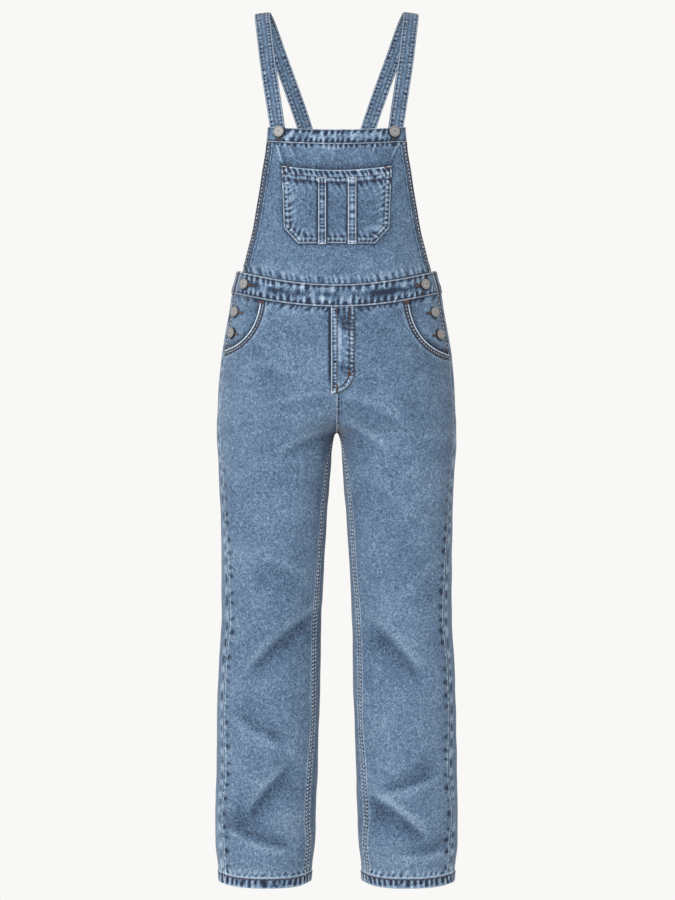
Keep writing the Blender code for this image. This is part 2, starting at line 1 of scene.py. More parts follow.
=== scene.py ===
# Denim bib overalls, dressed over the CAD frame. Lengths are in millimetres until a mesh is made.
import math

import bpy
import numpy as np
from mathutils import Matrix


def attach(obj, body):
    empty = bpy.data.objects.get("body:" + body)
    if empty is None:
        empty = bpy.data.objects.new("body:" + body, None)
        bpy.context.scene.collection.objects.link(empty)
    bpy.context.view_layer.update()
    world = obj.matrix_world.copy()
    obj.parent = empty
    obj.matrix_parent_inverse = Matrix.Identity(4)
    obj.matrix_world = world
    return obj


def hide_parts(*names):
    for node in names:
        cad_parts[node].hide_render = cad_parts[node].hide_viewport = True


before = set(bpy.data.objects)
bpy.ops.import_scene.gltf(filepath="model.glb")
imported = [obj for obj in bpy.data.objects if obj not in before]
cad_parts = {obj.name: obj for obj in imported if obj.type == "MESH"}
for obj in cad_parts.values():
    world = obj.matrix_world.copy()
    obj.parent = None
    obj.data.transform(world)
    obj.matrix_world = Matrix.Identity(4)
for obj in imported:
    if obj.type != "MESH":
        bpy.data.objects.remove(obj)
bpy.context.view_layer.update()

# what a user would change first
look = dict(
    base=(0.062, 0.108, 0.176),      # washed denim, linear colour
    dark=(0.007, 0.014, 0.032),      # unwashed dye left in the puckers, and painted shade in creases, grooves, round buttons and under overlapping edges
    pale=(0.205, 0.268, 0.338),      # worn ridges and edges, and painted highlights on creases and pulls
    bleached=(0.43, 0.50, 0.57),     # the most worn folds
    contrast=1.3,                    # strength of the puckers, seams and creases
    inside=(0.150, 0.180, 0.215),    # reverse of the twill
    tan=(0.15, 0.115, 0.09),
    rust=(0.105, 0.045, 0.028),
    brown=(0.10, 0.062, 0.045),
    paleTan=(0.25, 0.22, 0.195),
    ecru=(0.34, 0.378, 0.42),
    metal=(0.245, 0.238, 0.232),
    background=(0.947, 0.939, 0.922),
)
cloth = dict(wall=1.6, hemRaise=0.9, bandOut=1.0, waistbandOut=1.4, facingDepth=3.8, pocketOut=1.7)

# z, outer, middle, inner, front, back, roundness, inset of the outer seam, inset of the inner seam
bodyNames = ["outer", "middle", "inner", "front", "back", "roundness", "outInset", "inInset"]
bodyTable = np.array([
    [-200, 168, 0, -168, 112, 104, 2.4, 6, 0],
    [-300, 168, 0, -168, 116, 104, 2.4, 6, 0],
    [-436, 168, 0, -168, 113, 106, 2.35, 6, 0],
    [-470, 176, 0, -176, 115, 110, 2.3, 6, 0],
    [-505, 182, 1, -182, 118, 117, 2.3, 6, 0],
    [-555, 191, 10, -190, 121, 127, 2.3, 6, 0],
    [-589, 196, 24, -176, 121, 133, 2.3, 6, 0],
    [-623, 199.5, 40, -138, 119, 134, 2.3, 6, 0],
    [-657, 201, 57, -88, 115, 131, 2.3, 6, 0],
    [-680, 202, 68, -52, 111, 126, 2.3, 5, 0],
    [-695, 203, 75, -27, 108, 122, 2.3, 5, 0],
    [-705, 203, 80, -11, 106, 119, 2.3, 5, 0],
    [-711, 203, 82, -2.5, 104, 117, 2.3, 6, 0],
    [-716, 203, 84, 3, 103, 116, 2.3, 6, 1],
    [-728, 203, 88, 6, 101, 112, 2.3, 6, 2],
    [-767, 200.5, 99, 9.4, 95, 101, 2.25, 7, 6],
    [-852, 197, 106, 16.2, 86, 89, 2.2, 8, 8],
    [-937, 195.5, 108.4, 21.3, 79, 81, 2.2, 12, 8],
    [-1022, 195.5, 110.5, 25.5, 74, 75, 2.2, 15, 10],
    [-1107, 200, 113.6, 27.2, 70, 73, 2.2, 12, 11],
    [-1192, 203, 116.4, 29.8, 68, 72, 2.2, 12, 9],
    [-1277, 204, 118.1, 32.3, 67, 70, 2.2, 15, 12],
    [-1362, 205.7, 120.3, 34.9, 66, 69, 2.2, 10, 14],
    [-1405, 205.7, 121.1, 36.6, 66, 68, 2.2, 14, 10],
    [-1447, 201.5, 121.6, 41.7, 65, 67, 2.2, 12, 10],
    [-1472, 200.5, 122, 43.4, 65, 66, 2.2, 11, 9],
], float)[::-1]

bibTable = np.array([[-207, 114], [-245, 117], [-278, 122.5], [-311, 127.5],
                     [-345, 133.5], [-378, 139.5], [-411, 148.5], [-445, 158]], float)[::-1]

# soft troughs of the cloth: leg side, front or back, x0, z0, x1, z1, width, depth
folds = [
    (-1, 1, 12, -708, 76, -745, 13, 4), (-1, 1, 60, -979, 115, -937, 17, 3),
    (-1, 1, 38, -1009, 145, -1113, 17, 7), (-1, 1, 95, -1233, 160, -1196, 15, 3.5),
    (-1, 1, 82, -1273, 152, -1353, 16, 5.5), (-1, 1, 82, -1408, 188, -1380, 12, 5),
    (1, 1, 12, -678, 72, -725, 14, 4), (1, 1, 60, -1038, 138, -1116, 15, 6),
    (1, 1, 80, -1313, 155, -1281, 12, 3.5), (1, 1, 52, -1335, 147, -1388, 12, 5.5),
    (1, 1, 102, -1415, 180, -1403, 11, 4),
    (-1, -1, 20, -735, 95, -790, 16, 5), (-1, -1, 50, -1040, 150, -1075, 15, 5),
    (-1, -1, 70, -1110, 160, -1150, 15, 4.5), (-1, -1, 60, -1300, 150, -1345, 14, 5),
    (-1, -1, 80, -1400, 170, -1390, 12, 4), (1, -1, 18, -728, 88, -772, 15, 5),
    (1, -1, 45, -1018, 145, -1062, 15, 5.5), (1, -1, 75, -1090, 165, -1126, 14, 4),
    (1, -1, 55, -1322, 140, -1290, 14, 4.5), (1, -1, 70, -1385, 165, -1410, 12, 4),
]

# sharper creases drawn inside those folds, each from its wide end to its tip, with painted shade on one side
creases = [
    (-1, 1, 33, -1011, 152, -1118, 20, 1.0), (-1, 1, 167, -1190, 84, -1236, 16, 0.75),
    (-1, 1, 84, -1274, 151, -1357, 20, 0.85), (-1, 1, 181, -1375, 80, -1409, 13, 0.8),
    (-1, 1, 60, -955, 128, -925, 15, 0.5), (-1, 1, 8, -712, 92, -752, 13, 0.8),
    (-1, 1, 66, -624, 148, -604, 14, 0.45), (-1, 1, 14, -655, 98, -672, 11, 0.5),
    (1, 1, 66, -1035, 139, -1120, 18, 0.95), (1, 1, 162, -1290, 76, -1315, 15, 0.7),
    (1, 1, 65, -1324, 148, -1391, 20, 0.95), (1, 1, 191, -1409, 104, -1418, 9, 0.7),
    (1, 1, 10, -700, 82, -748, 13, 0.75), (1, 1, 24, -662, 104, -698, 13, 0.6),
    (1, 1, 150, -612, 60, -640, 14, 0.35),
    (1, 1, 58, -800, 120, -860, 16, 0.35), (1, 1, 150, -930, 96, -985, 15, 0.4),
    (-1, -1, 20, -735, 95, -790, 15, 0.8), (-1, -1, 50, -1040, 150, -1075, 16, 0.8),
    (-1, -1, 160, -1150, 70, -1110, 15, 0.7), (-1, -1, 60, -1300, 150, -1345, 14, 0.8),
    (1, -1, 18, -728, 88, -772, 14, 0.8), (1, -1, 45, -1018, 145, -1062, 16, 0.8),
    (1, -1, 165, -1126, 75, -1090, 14, 0.6), (1, -1, 55, -1322, 140, -1290, 14, 0.7),
]

# buttons: place on the wearer's left and right, radius, cloth under it, turn to the front, buttonhole
buttons = [
    dict(node="button_bib", left=(94.1, -216.4), right=(94.1, -216.4), r=9.2, lies=1.0, faced=0.0,
         hole=(0, -7.5, 0, -14.6), open=(2.3, 0.7)),
    dict(node="button_waist", left=(144.9, -466.9), right=(151.8, -465.8), r=8.5, lies=1.4, faced=0.26,
         hole=(-6, -0.8, -15.5, -3.6), open=(1.3, 0.6)),
    dict(node="button_hip_upper", left=(162.8, -512.7), right=(169.3, -511.2), r=8.5, lies=-0.3, faced=0.3,
         hole=(-5, -0.8, -11.8, -3.2), open=(1.3, 0.6)),
    dict(node="button_hip_lower", left=(171.8, -549.7), right=(175.0, -546.9), r=8.5, lies=-0.3, faced=0.2,
         hole=(-5, -0.8, -11.2, -3.2), open=(1.3, 0.6)),
]


# a smooth hump, 1 at its middle; with power 1 a plain falling off
def bell(value, middle, width, power=2):
    return np.exp(-np.abs((value - middle) / width) ** power)


def ease(low, high, value):
    t = np.clip((value - low) / (high - low), 0, 1)
    return t * t * (3 - 2 * t)


def smoothTable(table, z):
    heights, values = table[:, 0], table[:, 1:]
    rise = np.diff(values, axis=0) / np.diff(heights)[:, None]
    slope = np.zeros_like(values)
    same = rise[:-1] * rise[1:] > 0
    slope[1:-1] = np.where(same, 2 * rise[:-1] * rise[1:] / np.where(same, rise[:-1] + rise[1:], 1), 0)
    slope[0], slope[-1] = rise[0], rise[-1]
    z = np.clip(z, heights[0], heights[-1])
    i = np.clip(np.searchsorted(heights, z) - 1, 0, len(heights) - 2)
    step = (heights[i + 1] - heights[i])[..., None]
    t = (z - heights[i])[..., None] / step
    return (values[i] * (1 + 2 * t) * (1 - t) ** 2 + values[i + 1] * t ** 2 * (3 - 2 * t)
            + step * (slope[i] * t * (1 - t) ** 2 - slope[i + 1] * t ** 2 * (1 - t)))


def bodyAt(z):
    got = smoothTable(bodyTable, np.asarray(z, float))
    return {name: got[..., i] for i, name in enumerate(bodyNames)}


# value noise in one or two directions, -1 to 1
def noise2(x, y, seed):
    grid = np.random.default_rng(seed).uniform(-1, 1, (64, 64))
    xi, yi = np.floor(x).astype(int), np.floor(y).astype(int)
    tx, ty = x - xi, y - yi
    tx, ty = tx * tx * (3 - 2 * tx), ty * ty * (3 - 2 * ty)
    a, b = grid[xi % 64, yi % 64], grid[(xi + 1) % 64, yi % 64]
    c, d = grid[xi % 64, (yi + 1) % 64], grid[(xi + 1) % 64, (yi + 1) % 64]
    return (a * (1 - tx) + b * tx) * (1 - ty) + (c * (1 - tx) + d * tx) * ty


def noise1(x, seed):
    return noise2(x, np.zeros_like(x), seed)


# places from 0 to 1 across a length, close together near either end
def graded(length, fine, coarse, near):
    steps, at, step = [0.0], 0.0, fine
    while at < length / 2:
        if at > near:
            step = min(step * 1.25, coarse)
        at += step
        steps.append(at)
    half = np.array(steps) * (length / 2) / steps[-1]
    return np.concatenate([half, length - half[::-1][1:]]) / length


# length from the first point on, along one direction of a line or grid of points
def runLength(points, axis=0):
    steps = np.linalg.norm(np.diff(points, axis=axis), axis=-1)
    return np.concatenate([0 * np.take(steps, [0], axis), np.cumsum(steps, axis=axis)], axis=axis)


def unit(vectors):
    return vectors / np.linalg.norm(vectors, axis=-1, keepdims=True)


# the form of the worn cloth, the same as the solids', starting with the folds' troughs
def foldDepth(side, face, x, z):
    moved = np.zeros(x.shape)
    for fSide, fFace, x0, z0, x1, z1, width, depth in folds:
        if fSide != side:
            continue
        run = np.array([x1 - x0, z1 - z0], float)
        share = np.clip(((x - x0) * run[0] + (z - z0) * run[1]) / run.dot(run), 0, 1)
        bow = 0.06 * np.hypot(*run) * np.sin(share * math.pi)
        normal = np.array([-run[1], run[0]]) / np.hypot(*run)
        ax, az = x - x0 - share * run[0] + bow * normal[0], z - z0 - share * run[1] + bow * normal[1]
        away = np.hypot(ax, az) / width
        trough = -depth * (1 - 0.45 * away ** 2) * np.exp(-away ** 2 / 2)
        moved += np.where(face == fFace, trough, 0)
    return moved


# a crease falls off sharply on its ridge side and softly on the other, and runs out to its tip; it is painted
# with shade on its soft side and a highlight on its ridge, which is also worn pale
def creaseMarks(side, face, x, z):
    # towards the ankles the cloth is paler and the painted crease shade stronger
    atAnkle = ease(-1210, -1320, z)
    moved, wearAndShade = np.zeros(x.shape), 0.06 * atAnkle + np.zeros(x.shape)
    for cSide, cFace, x0, z0, x1, z1, wide, strength in creases:
        if cSide != side:
            continue
        run = np.array([x1 - x0, z1 - z0], float)
        length = np.hypot(*run)
        share = ((x - x0) * run[0] + (z - z0) * run[1]) / length ** 2
        bow = 0.05 * length * np.sin(np.clip(share, 0, 1) * math.pi)
        away = ((x - x0) * run[1] - (z - z0) * run[0]) / length + bow
        inside = strength * ease(-0.25, 0.2, share) * (1 - ease(0.86, 1.04, share)) * (face == cFace)
        width = 3.0 * wide * (1.1 - 0.95 * np.clip(share, 0, 1))
        dark = ease(-4.0, 6.0, away) * bell(np.maximum(away, 0), 0, width, 1.6)
        ridge = bell(away, -7, 7)
        moved += inside * (0.8 * ridge - 1.4 * dark)
        wearAndShade += inside * (1 + 0.4 * atAnkle) * (0.24 * ridge - 0.36 * dark)
    return moved, wearAndShade


def angleAt(x, z):
    b = bodyAt(z)
    edge = np.where(x > b["middle"], b["outer"], b["inner"])
    share = np.clip((x - b["middle"]) / np.abs(edge - b["middle"]), -1, 1)
    return np.arccos(np.sign(share) * np.abs(share) ** (b["roundness"] / 2))


# points of the garment by angle round a leg's middle and height, moved out from the solids' form
def skin(side, angle, z, out):
    side, angle, z, out = np.broadcast_arrays(side, angle, z, out)
    b = bodyAt(z)
    power = 2 / b["roundness"]
    across, forward = np.cos(angle), np.sin(angle)
    half = np.abs(np.where(across > 0, b["outer"], b["inner"]) - b["middle"])
    depth = np.where(forward > 0, b["front"], b["back"])
    widthShare = np.sign(across) * np.abs(across) ** power
    depthShare = np.sign(forward) * np.abs(forward) ** power
    face = np.where(forward > 0, 1, -1)
    x = b["middle"] + half * widthShare
    pressed = np.where(side > 0, foldDepth(1, face, x, z), foldDepth(-1, face, x, z)) * np.abs(forward)
    x = b["middle"] + (half + out) * widthShare
    return np.stack([side * x, -(depth + out + pressed) * depthShare, z], axis=-1)


def front(x, z, out=0.0):
    return skin(np.where(x < 0, -1, 1), angleAt(np.abs(x), z), z, out)


def rear(x, z, out):
    return skin(np.where(x < 0, -1, 1), -angleAt(np.abs(x), z), z, out)


def sideSeam(z):
    b = bodyAt(z)
    return angleAt(b["outer"] - b["outInset"], z)


def innerSeam(z):
    b = bodyAt(z)
    below = b["inner"] + b["inInset"]
    return angleAt(np.maximum(below, 0.15), z) - np.where(below > 0.15, 0.002, 0)


def innerSeamBack(z):
    b = bodyAt(z)
    below = b["inner"] + b["inInset"] > 0.15
    return np.where(below, innerSeam(z) + 0.004 - 2 * math.pi, -innerSeam(z))


waist = dict(top=-441.0, dip=29.0, backRise=16.0, height=36.5, pitch=12.6, reach=10.5, depth=1.5)
seamGap = 0.3


def waistFront(angle, down):
    share = np.abs(np.cos(angle)) ** 0.85
    return waist["top"] - waist["dip"] * (1 - share ** 2) - down


def waistBack(angle, down):
    share = np.abs(np.cos(angle)) ** 0.85
    rise = np.where(np.sin(angle) > 0, -waist["dip"] * (1 - share ** 2), waist["backRise"] * (1 - share ** 6))
    return waist["top"] + 1 + rise - down * (1 + 1.0 / waist["height"])


def bezier(corners, count):
    a, b, c, d = (np.array(p, float) for p in corners)
    t = np.linspace(0, 1, count)[:, None]
    return a * (1 - t) ** 3 + 3 * b * t * (1 - t) ** 2 + 3 * c * t ** 2 * (1 - t) + d * t ** 3


# pocket openings; the wearer's left one sits further in and hangs lower
scoops = {
    1: bezier(((119.0, -496.0), (124.0, -544.0), (150.0, -577.0), (192.0, -583.0)), 60),
    -1: bezier(((127.0, -496.0), (131.0, -540.0), (157.0, -571.0), (192.0, -575.0)), 60),
}



# how far each point of a piece is from a line on it, and how far along that line
def nearLine(points, line):
    flat = points.reshape(-1, 3)
    run = runLength(line)
    away, along = np.empty(len(flat)), np.empty(len(flat))
    start, step = line[:-1], np.diff(line, axis=0)
    length2 = (step ** 2).sum(1)
    block = 4000
    for low in range(0, len(flat), block):
        p = flat[low:low + block]
        share = np.clip(((p[:, None] - start) * step).sum(2) / length2, 0, 1)
        gap = np.linalg.norm(p[:, None] - start - share[..., None] * step, axis=2)
        best = gap.argmin(1)
        pick = np.arange(len(p))
        away[low:low + block] = gap[pick, best]
        along[low:low + block] = run[best] + share[pick, best] * (run[best + 1] - run[best])
    return away.reshape(points.shape[:-1]), along.reshape(points.shape[:-1])


def resample(line, step):
    run = runLength(line)
    at = np.linspace(0, run[-1], max(2, int(round(run[-1] / step)) + 1))
    return np.stack([np.interp(at, run, line[:, i]) for i in range(line.shape[1])], axis=1)


# Marks on the cloth come as pairs: how far it is moved out, and its wear and painted shade, pale above zero
# and dark below.

def addMarks(moved, wearAndShade, marks):
    for move, shade in marks:
        moved, wearAndShade = moved + move, wearAndShade + shade
    return moved, wearAndShade


# Puckers along an edge: dark marks between paler ridges, uneven in size and spacing; the dark marks are dye
# left in the troughs and painted shade there, the ridges are worn pale.
# pitch along the seam, reach away from it, start of the marks, duty is how much of the pitch is dark
def pucker(away, along, pitch, start, reach, depth, dark, pale, *, seed, duty=0.5, lean=0.0, uneven=0.3):
    s = along + lean * away
    phase = s / pitch + uneven * noise1(s / pitch / 1.7, seed)
    cell = np.floor(phase)
    size = 0.8 + 0.25 * noise1(cell * 1.37 + 0.5, seed + 1)
    reachHere = reach * (0.75 + 0.3 * noise1(cell * 2.11 + 0.3, seed + 2))
    wave = 0.5 - 0.5 * np.cos(2 * math.pi * phase)
    mark = ease(1 - duty - 0.22, 1 - duty + 0.22, wave) * size
    mark = mark * ease(start - 0.8, start + 0.8, away) * (1 - ease(reachHere * 0.72, reachHere * 1.15, away))
    ridge = (1 - wave) ** 2 * ease(0, start, away) * (1 - ease(reach * 0.8, reach * 1.6, away))
    return depth * (0.5 * ridge - mark), 1.5 * pale * ridge - 1.8 * dark * mark


# dark round spots in a row beside a seam
def seamSpots(away, along, pitch, start, seed):
    cell = np.floor(along / pitch)
    middle = (cell + 0.5 + 0.22 * noise1(cell * 1.71 + 0.3, seed)) * pitch
    size = 0.75 + 0.35 * noise1(cell * 2.3 + 0.7, seed + 1)
    across = ease(start - 1.5, start + 1, away) * bell(np.maximum(away - start - 4, 0), 0, 5)
    return -1.5 * size * bell(along, middle, 4.0 * size) * across


# a net of thin bent ridges, as cloth gathered on a seam wears
def crackle(along, down, wide, tall, seed, width=0.13):
    first = noise2(along / wide + 7, down / tall + 7, seed)
    second = noise2((along - 0.5 * down) / wide / 0.8 + 31, down / tall / 1.3 + 11, seed + 1)
    return bell(first, 0, width) * 0.7 + bell(second, 0, width) * 0.6


# worn lines that run slanted over a band
def streaks(phase, width, seed, start=0.0):
    line = np.round(phase)
    return bell(phase, line, width) * (0.5 + 0.5 * noise1(line * 1.7 + start, seed))


# a stitched line presses a shallow groove, with painted shade on its inner side
def groove(away, at, dark=0.35, width=0.9):
    return -0.35 * bell(away, at, width), -1.7 * dark * bell(away, at + 1.2, 1.0)


# a folded edge is worn pale and rolls off a little
def rim(away, pale, width=1.3):
    return -0.5 * bell(away, 0, 0.7), 1.6 * pale * bell(away, 0, width)


# the shadow that buttons and their buttonholes leave on the cloth
def buttonShade(points, names):
    shade = np.zeros(points.shape[:-1])
    for spec in buttons:
        for word, side in (("right", -1), ("left", 1)):
            if spec["node"] not in names:
                continue
            x, z = spec[word]
            seat = front(np.array(side * x), np.array(z), spec["lies"]) + np.array([0.8, 0, -0.9])
            away = np.linalg.norm(points - seat, axis=-1) - spec["r"] * 0.92
            shade -= 1.8 * bell(np.maximum(away, 0), 0, 2.3)
            x0, z0, x1, z1 = spec["hole"]
            slit = front(side * (x + np.array([x0, x1], float)), z + np.array([z0, z1], float), spec["lies"])
            away, _ = nearLine(points, slit)
            shade -= 1.3 * bell(away, 0, 1.3 + spec["open"][0] * 0.5)
    return shade


def rubbed(points, seed, scale=22.0, strength=0.12):
    x, z = points[..., 0] + 0.6 * points[..., 1], points[..., 2]
    broad = noise2(x / 60 + 9, z / 75 + 9, seed) * 0.5 + noise2(x / scale + 5, z / scale + 5, seed + 7) * 0.5
    return strength * broad


# materials

materials = {}


# a node with its settings, and its inputs given as values or as the sockets that feed them
def addNode(tree, kind, inputs=None, **settings):
    made = tree.nodes.new(kind)
    for key, value in settings.items():
        setattr(made, key, value)
    for key, value in (inputs or {}).items():
        if isinstance(value, bpy.types.NodeSocket):
            tree.links.new(value, made.inputs[key])
        else:
            made.inputs[key].default_value = value
    return made


def newMaterial(name, roughness, **inputs):
    made = bpy.data.materials.new(name)
    made.use_nodes = True
    materials[name] = made
    shader = made.node_tree.nodes["Principled BSDF"]
    shader.inputs["Roughness"].default_value = roughness
    for key, value in inputs.items():
        shader.inputs[key.replace("_", " ")].default_value = value
    return made.node_tree, shader


def mathNode(tree, operation, a, b=0.0, clamp=False):
    return addNode(tree, "ShaderNodeMath", {0: a, 1: b}, operation=operation, use_clamp=clamp).outputs[0]


def noiseNode(tree, vector, scale, detail, roughness=0.5, distortion=0.0):
    inputs = dict(Vector=vector, Scale=scale, Detail=detail, Roughness=roughness, Distortion=distortion)
    return addNode(tree, "ShaderNodeTexNoise", inputs).outputs["Fac"]


# noise about zero
def unevenness(tree, strength, *how):
    return mathNode(tree, "MULTIPLY", mathNode(tree, "SUBTRACT", noiseNode(tree, *how), 0.5), strength)


def mixColour(tree, factor, a, b):
    a, b = ((*c, 1) if isinstance(c, tuple) else c for c in (a, b))
    return addNode(tree, "ShaderNodeMix", {0: factor, 6: a, 7: b}, data_type="RGBA").outputs[2]


def rampNode(tree, value, low, high):
    inputs = {"Value": value, "From Min": low, "From Max": high}
    return addNode(tree, "ShaderNodeMapRange", inputs, interpolation_type="SMOOTHSTEP").outputs["Result"]


def bumpInto(tree, shader, height, strength, distance):
    inputs = {"Strength": strength, "Distance": distance, "Height": height}
    tree.links.new(addNode(tree, "ShaderNodeBump", inputs).outputs["Normal"], shader.inputs["Normal"])


# thin curled lines where a noise crosses its middle
def hairs(tree, vector, strength, scale, width, distortion):
    noise = noiseNode(tree, vector, scale, 0.6, 0.5, distortion)
    away = mathNode(tree, "ABSOLUTE", mathNode(tree, "SUBTRACT", noise, 0.5))
    return mathNode(tree, "MULTIPLY", rampNode(tree, away, width, 0.0), strength)


def attribute(tree, name):
    return addNode(tree, "ShaderNodeAttribute", attribute_name=name).outputs["Fac"]


def denimMaterial(name, lift):
    tree, shader = newMaterial(name, 0.88, Specular_IOR_Level=0.25, Sheen_Weight=0.12, Sheen_Roughness=0.5)
    coordinates = addNode(tree, "ShaderNodeTexCoord").outputs
    place = coordinates["Object"]
    slant = dict(Vector=place, Rotation=(0, 0.7, 0), Scale=(1, 1, 0.3))
    slanted = addNode(tree, "ShaderNodeMapping", slant).outputs[0]
    # how pale each spot is: baked wear with painted shade and highlights, then washed patches, crumple, grain
    # and curled hairs
    crumple = unevenness(tree, 0.25, place, 220, 3, 0.6, 0.8)
    grain = unevenness(tree, 0.85, slanted, 640, 2, 0.6, 0.5)
    total = mathNode(tree, "MULTIPLY", attribute(tree, "wearAndShade"), look["contrast"])
    for part in (unevenness(tree, 0.4, place, 26, 3, 0.55), crumple, grain,
                 hairs(tree, place, 0.5, 190, 0.085, 0.5), hairs(tree, place, -0.5, 215, 0.09, 0.6), lift):
        total = mathNode(tree, "ADD", total, part)
    bleachShare = mathNode(tree, "MULTIPLY", mathNode(tree, "SUBTRACT", total, 1.1), 0.8, clamp=True)
    colour = mixColour(tree, mathNode(tree, "MULTIPLY", total, -1.0, clamp=True), look["base"], look["dark"])
    colour = mixColour(tree, mathNode(tree, "MULTIPLY", total, 1.0, clamp=True), colour, look["pale"])
    colour = mixColour(tree, bleachShare, colour, look["bleached"])
    colour = mixColour(tree, attribute(tree, "reverse"), colour, look["inside"])
    tree.links.new(colour, shader.inputs["Base Color"])
    # twill: diagonal ribs on the cloth's own coordinates, under a fine unevenness
    twill = dict(Vector=coordinates["UV"], Scale=330, Distortion=1.2, Detail=1)
    ribs = addNode(tree, "ShaderNodeTexWave", twill, bands_direction="DIAGONAL")
    rough = mathNode(tree, "MULTIPLY", ribs.outputs["Fac"], 0.35)
    for part in (crumple, grain):
        rough = mathNode(tree, "ADD", rough, part)
    bumpInto(tree, shader, rough, 0.45, 0.0009)


def threadMaterial(name, colour):
    tree, shader = newMaterial(name, 0.7, Specular_IOR_Level=0.3)
    tone = noiseNode(tree, addNode(tree, "ShaderNodeTexCoord").outputs["Object"], 160, 2)
    mixed = mixColour(tree, rampNode(tree, tone, 0.35, 0.65), tuple(c * 0.55 for c in colour), colour)
    tree.links.new(mixed, shader.inputs["Base Color"])


# dull metal, darker where its lightness attribute is low: painted shade under the head and on the shank, a
# darker ring in the dome and a dark dot at its middle
def metalMaterial(name, colour):
    tree, shader = newMaterial(name, 0.62, Metallic=0.35)
    tone = noiseNode(tree, addNode(tree, "ShaderNodeTexCoord").outputs["Object"], 420, 3, 0.6)
    mixed = mixColour(tree, rampNode(tree, tone, 0.35, 0.65), tuple(c * 0.72 for c in colour), colour)
    mixed = mixColour(tree, attribute(tree, "metalLightness"), (0.02, 0.02, 0.022), mixed)
    tree.links.new(mixed, shader.inputs["Base Color"])
    bumpInto(tree, shader, tone, 0.3, 0.0004)


denimMaterial("denimCloth", -0.02)
denimMaterial("denimBand", 0.03)
for threadName in ("tan", "rust", "brown", "paleTan", "ecru"):
    threadMaterial("thread_" + threadName, look[threadName])
metalMaterial("buttonMetal", look["metal"])
collection = bpy.context.scene.collection
clothOfSlot = {"denim": "denimCloth", "denim_faded": "denimBand"}


# meshes, all points in millimetres

def addObject(name, mesh):
    made = bpy.data.objects.new(name, mesh)
    collection.objects.link(made)
    return made


def addAttribute(mesh, name, values):
    kind = "FLOAT_VECTOR" if np.ndim(values) == 2 else "FLOAT"
    layer = mesh.attributes.new(name, kind, "POINT")
    layer.data.foreach_set("vector" if kind == "FLOAT_VECTOR" else "value", np.ravel(values).astype("f"))


def addMesh(name, points, faces, materialName, attributes, uv=None):
    mesh = bpy.data.meshes.new(name)
    mesh.from_pydata((np.asarray(points) * 0.001).tolist(), [], faces)
    for key, values in attributes.items():
        addAttribute(mesh, key, values)
    if uv is not None:
        corner = np.empty(len(mesh.loops), dtype=np.int32)
        mesh.loops.foreach_get("vertex_index", corner)
        mesh.uv_layers.new(name="cut").data.foreach_set("uv", (uv[corner] * 0.001).ravel().astype("f"))
    mesh.shade_smooth()
    mesh.materials.append(materials[materialName])
    return addObject(name, mesh)


# outward normals of a grid of points, rows by columns
def gridNormals(points, outSide):
    n = np.cross(np.gradient(points, axis=1), np.gradient(points, axis=0))
    n /= np.maximum(np.linalg.norm(n, axis=2, keepdims=True), 1e-9)
    return n * np.sign((n * (outSide - points)).sum())


# a closed thin shell between an outer and an inner grid; a folded piece has face cloth on both sides
def shell(name, outer, inner, wearAndShade, materialName, folded):
    rows, columns = outer.shape[:2]
    count = rows * columns
    index = np.arange(count).reshape(rows, columns)
    quads = np.stack([index[:-1, :-1], index[:-1, 1:], index[1:, 1:], index[1:, :-1]], axis=-1).reshape(-1, 4)
    ring = np.concatenate([index[0, :], index[1:, -1], index[-1, -2::-1], index[-2:0:-1, 0]])
    after = np.roll(ring, -1)
    sides = np.stack([after, ring, ring + count, after + count], axis=1)
    faces = np.concatenate([quads, quads[:, ::-1] + count, sides])
    points = np.concatenate([outer.reshape(-1, 3), inner.reshape(-1, 3)])
    middle = quads[len(quads) // 2]
    p, q = points[middle], points[middle + count].mean(0)
    if np.cross(p[1] - p[0], p[2] - p[0]).dot(p.mean(0) - q) < 0:
        faces = faces[:, ::-1]
    u = runLength(outer, 1)
    u -= u[:, -1:] / 2
    uv = np.stack([u, -runLength(outer, 0)], axis=-1).reshape(-1, 2)
    attributes = {
        "wearAndShade": np.concatenate([wearAndShade.ravel(), wearAndShade.ravel() * (1 if folded else 0.3)]),
        "reverse": np.repeat([0, 0 if folded else 1], count),
    }
    made = addMesh(name, points, faces.tolist(), materialName, attributes, np.concatenate([uv, uv]))
    corners = points[quads]
    halves = [np.cross(corners[:, i] - corners[:, 0], corners[:, i + 1] - corners[:, 0]) for i in (1, 2)]
    return made, sum(np.linalg.norm(half, axis=1).sum() / 2 for half in halves) * 1e-6


# stitches, as instances on lines that lie on the cloth

def capsuleShape(name, sides):
    rings = [(-0.5, 0.25), (-0.32, 0.9), (0.32, 0.9), (0.5, 0.25)]
    turns = [2 * math.pi * k / sides for k in range(sides)]
    points = [(x, r * math.cos(turn), r * math.sin(turn)) for x, r in rings for turn in turns]
    faces = [(low + k, low + sides + k, low + sides + (k + 1) % sides, low + (k + 1) % sides)
             for low in range(0, len(points) - sides, sides) for k in range(sides)]
    faces += [tuple(range(sides)), tuple(range(len(points) - 1, len(points) - 1 - sides, -1))]
    mesh = bpy.data.meshes.new(name)
    mesh.from_pydata(points, [], faces)
    mesh.shade_smooth()
    return bpy.data.objects.new(name, mesh)


stitchShape = capsuleShape("stitchShape", 4)


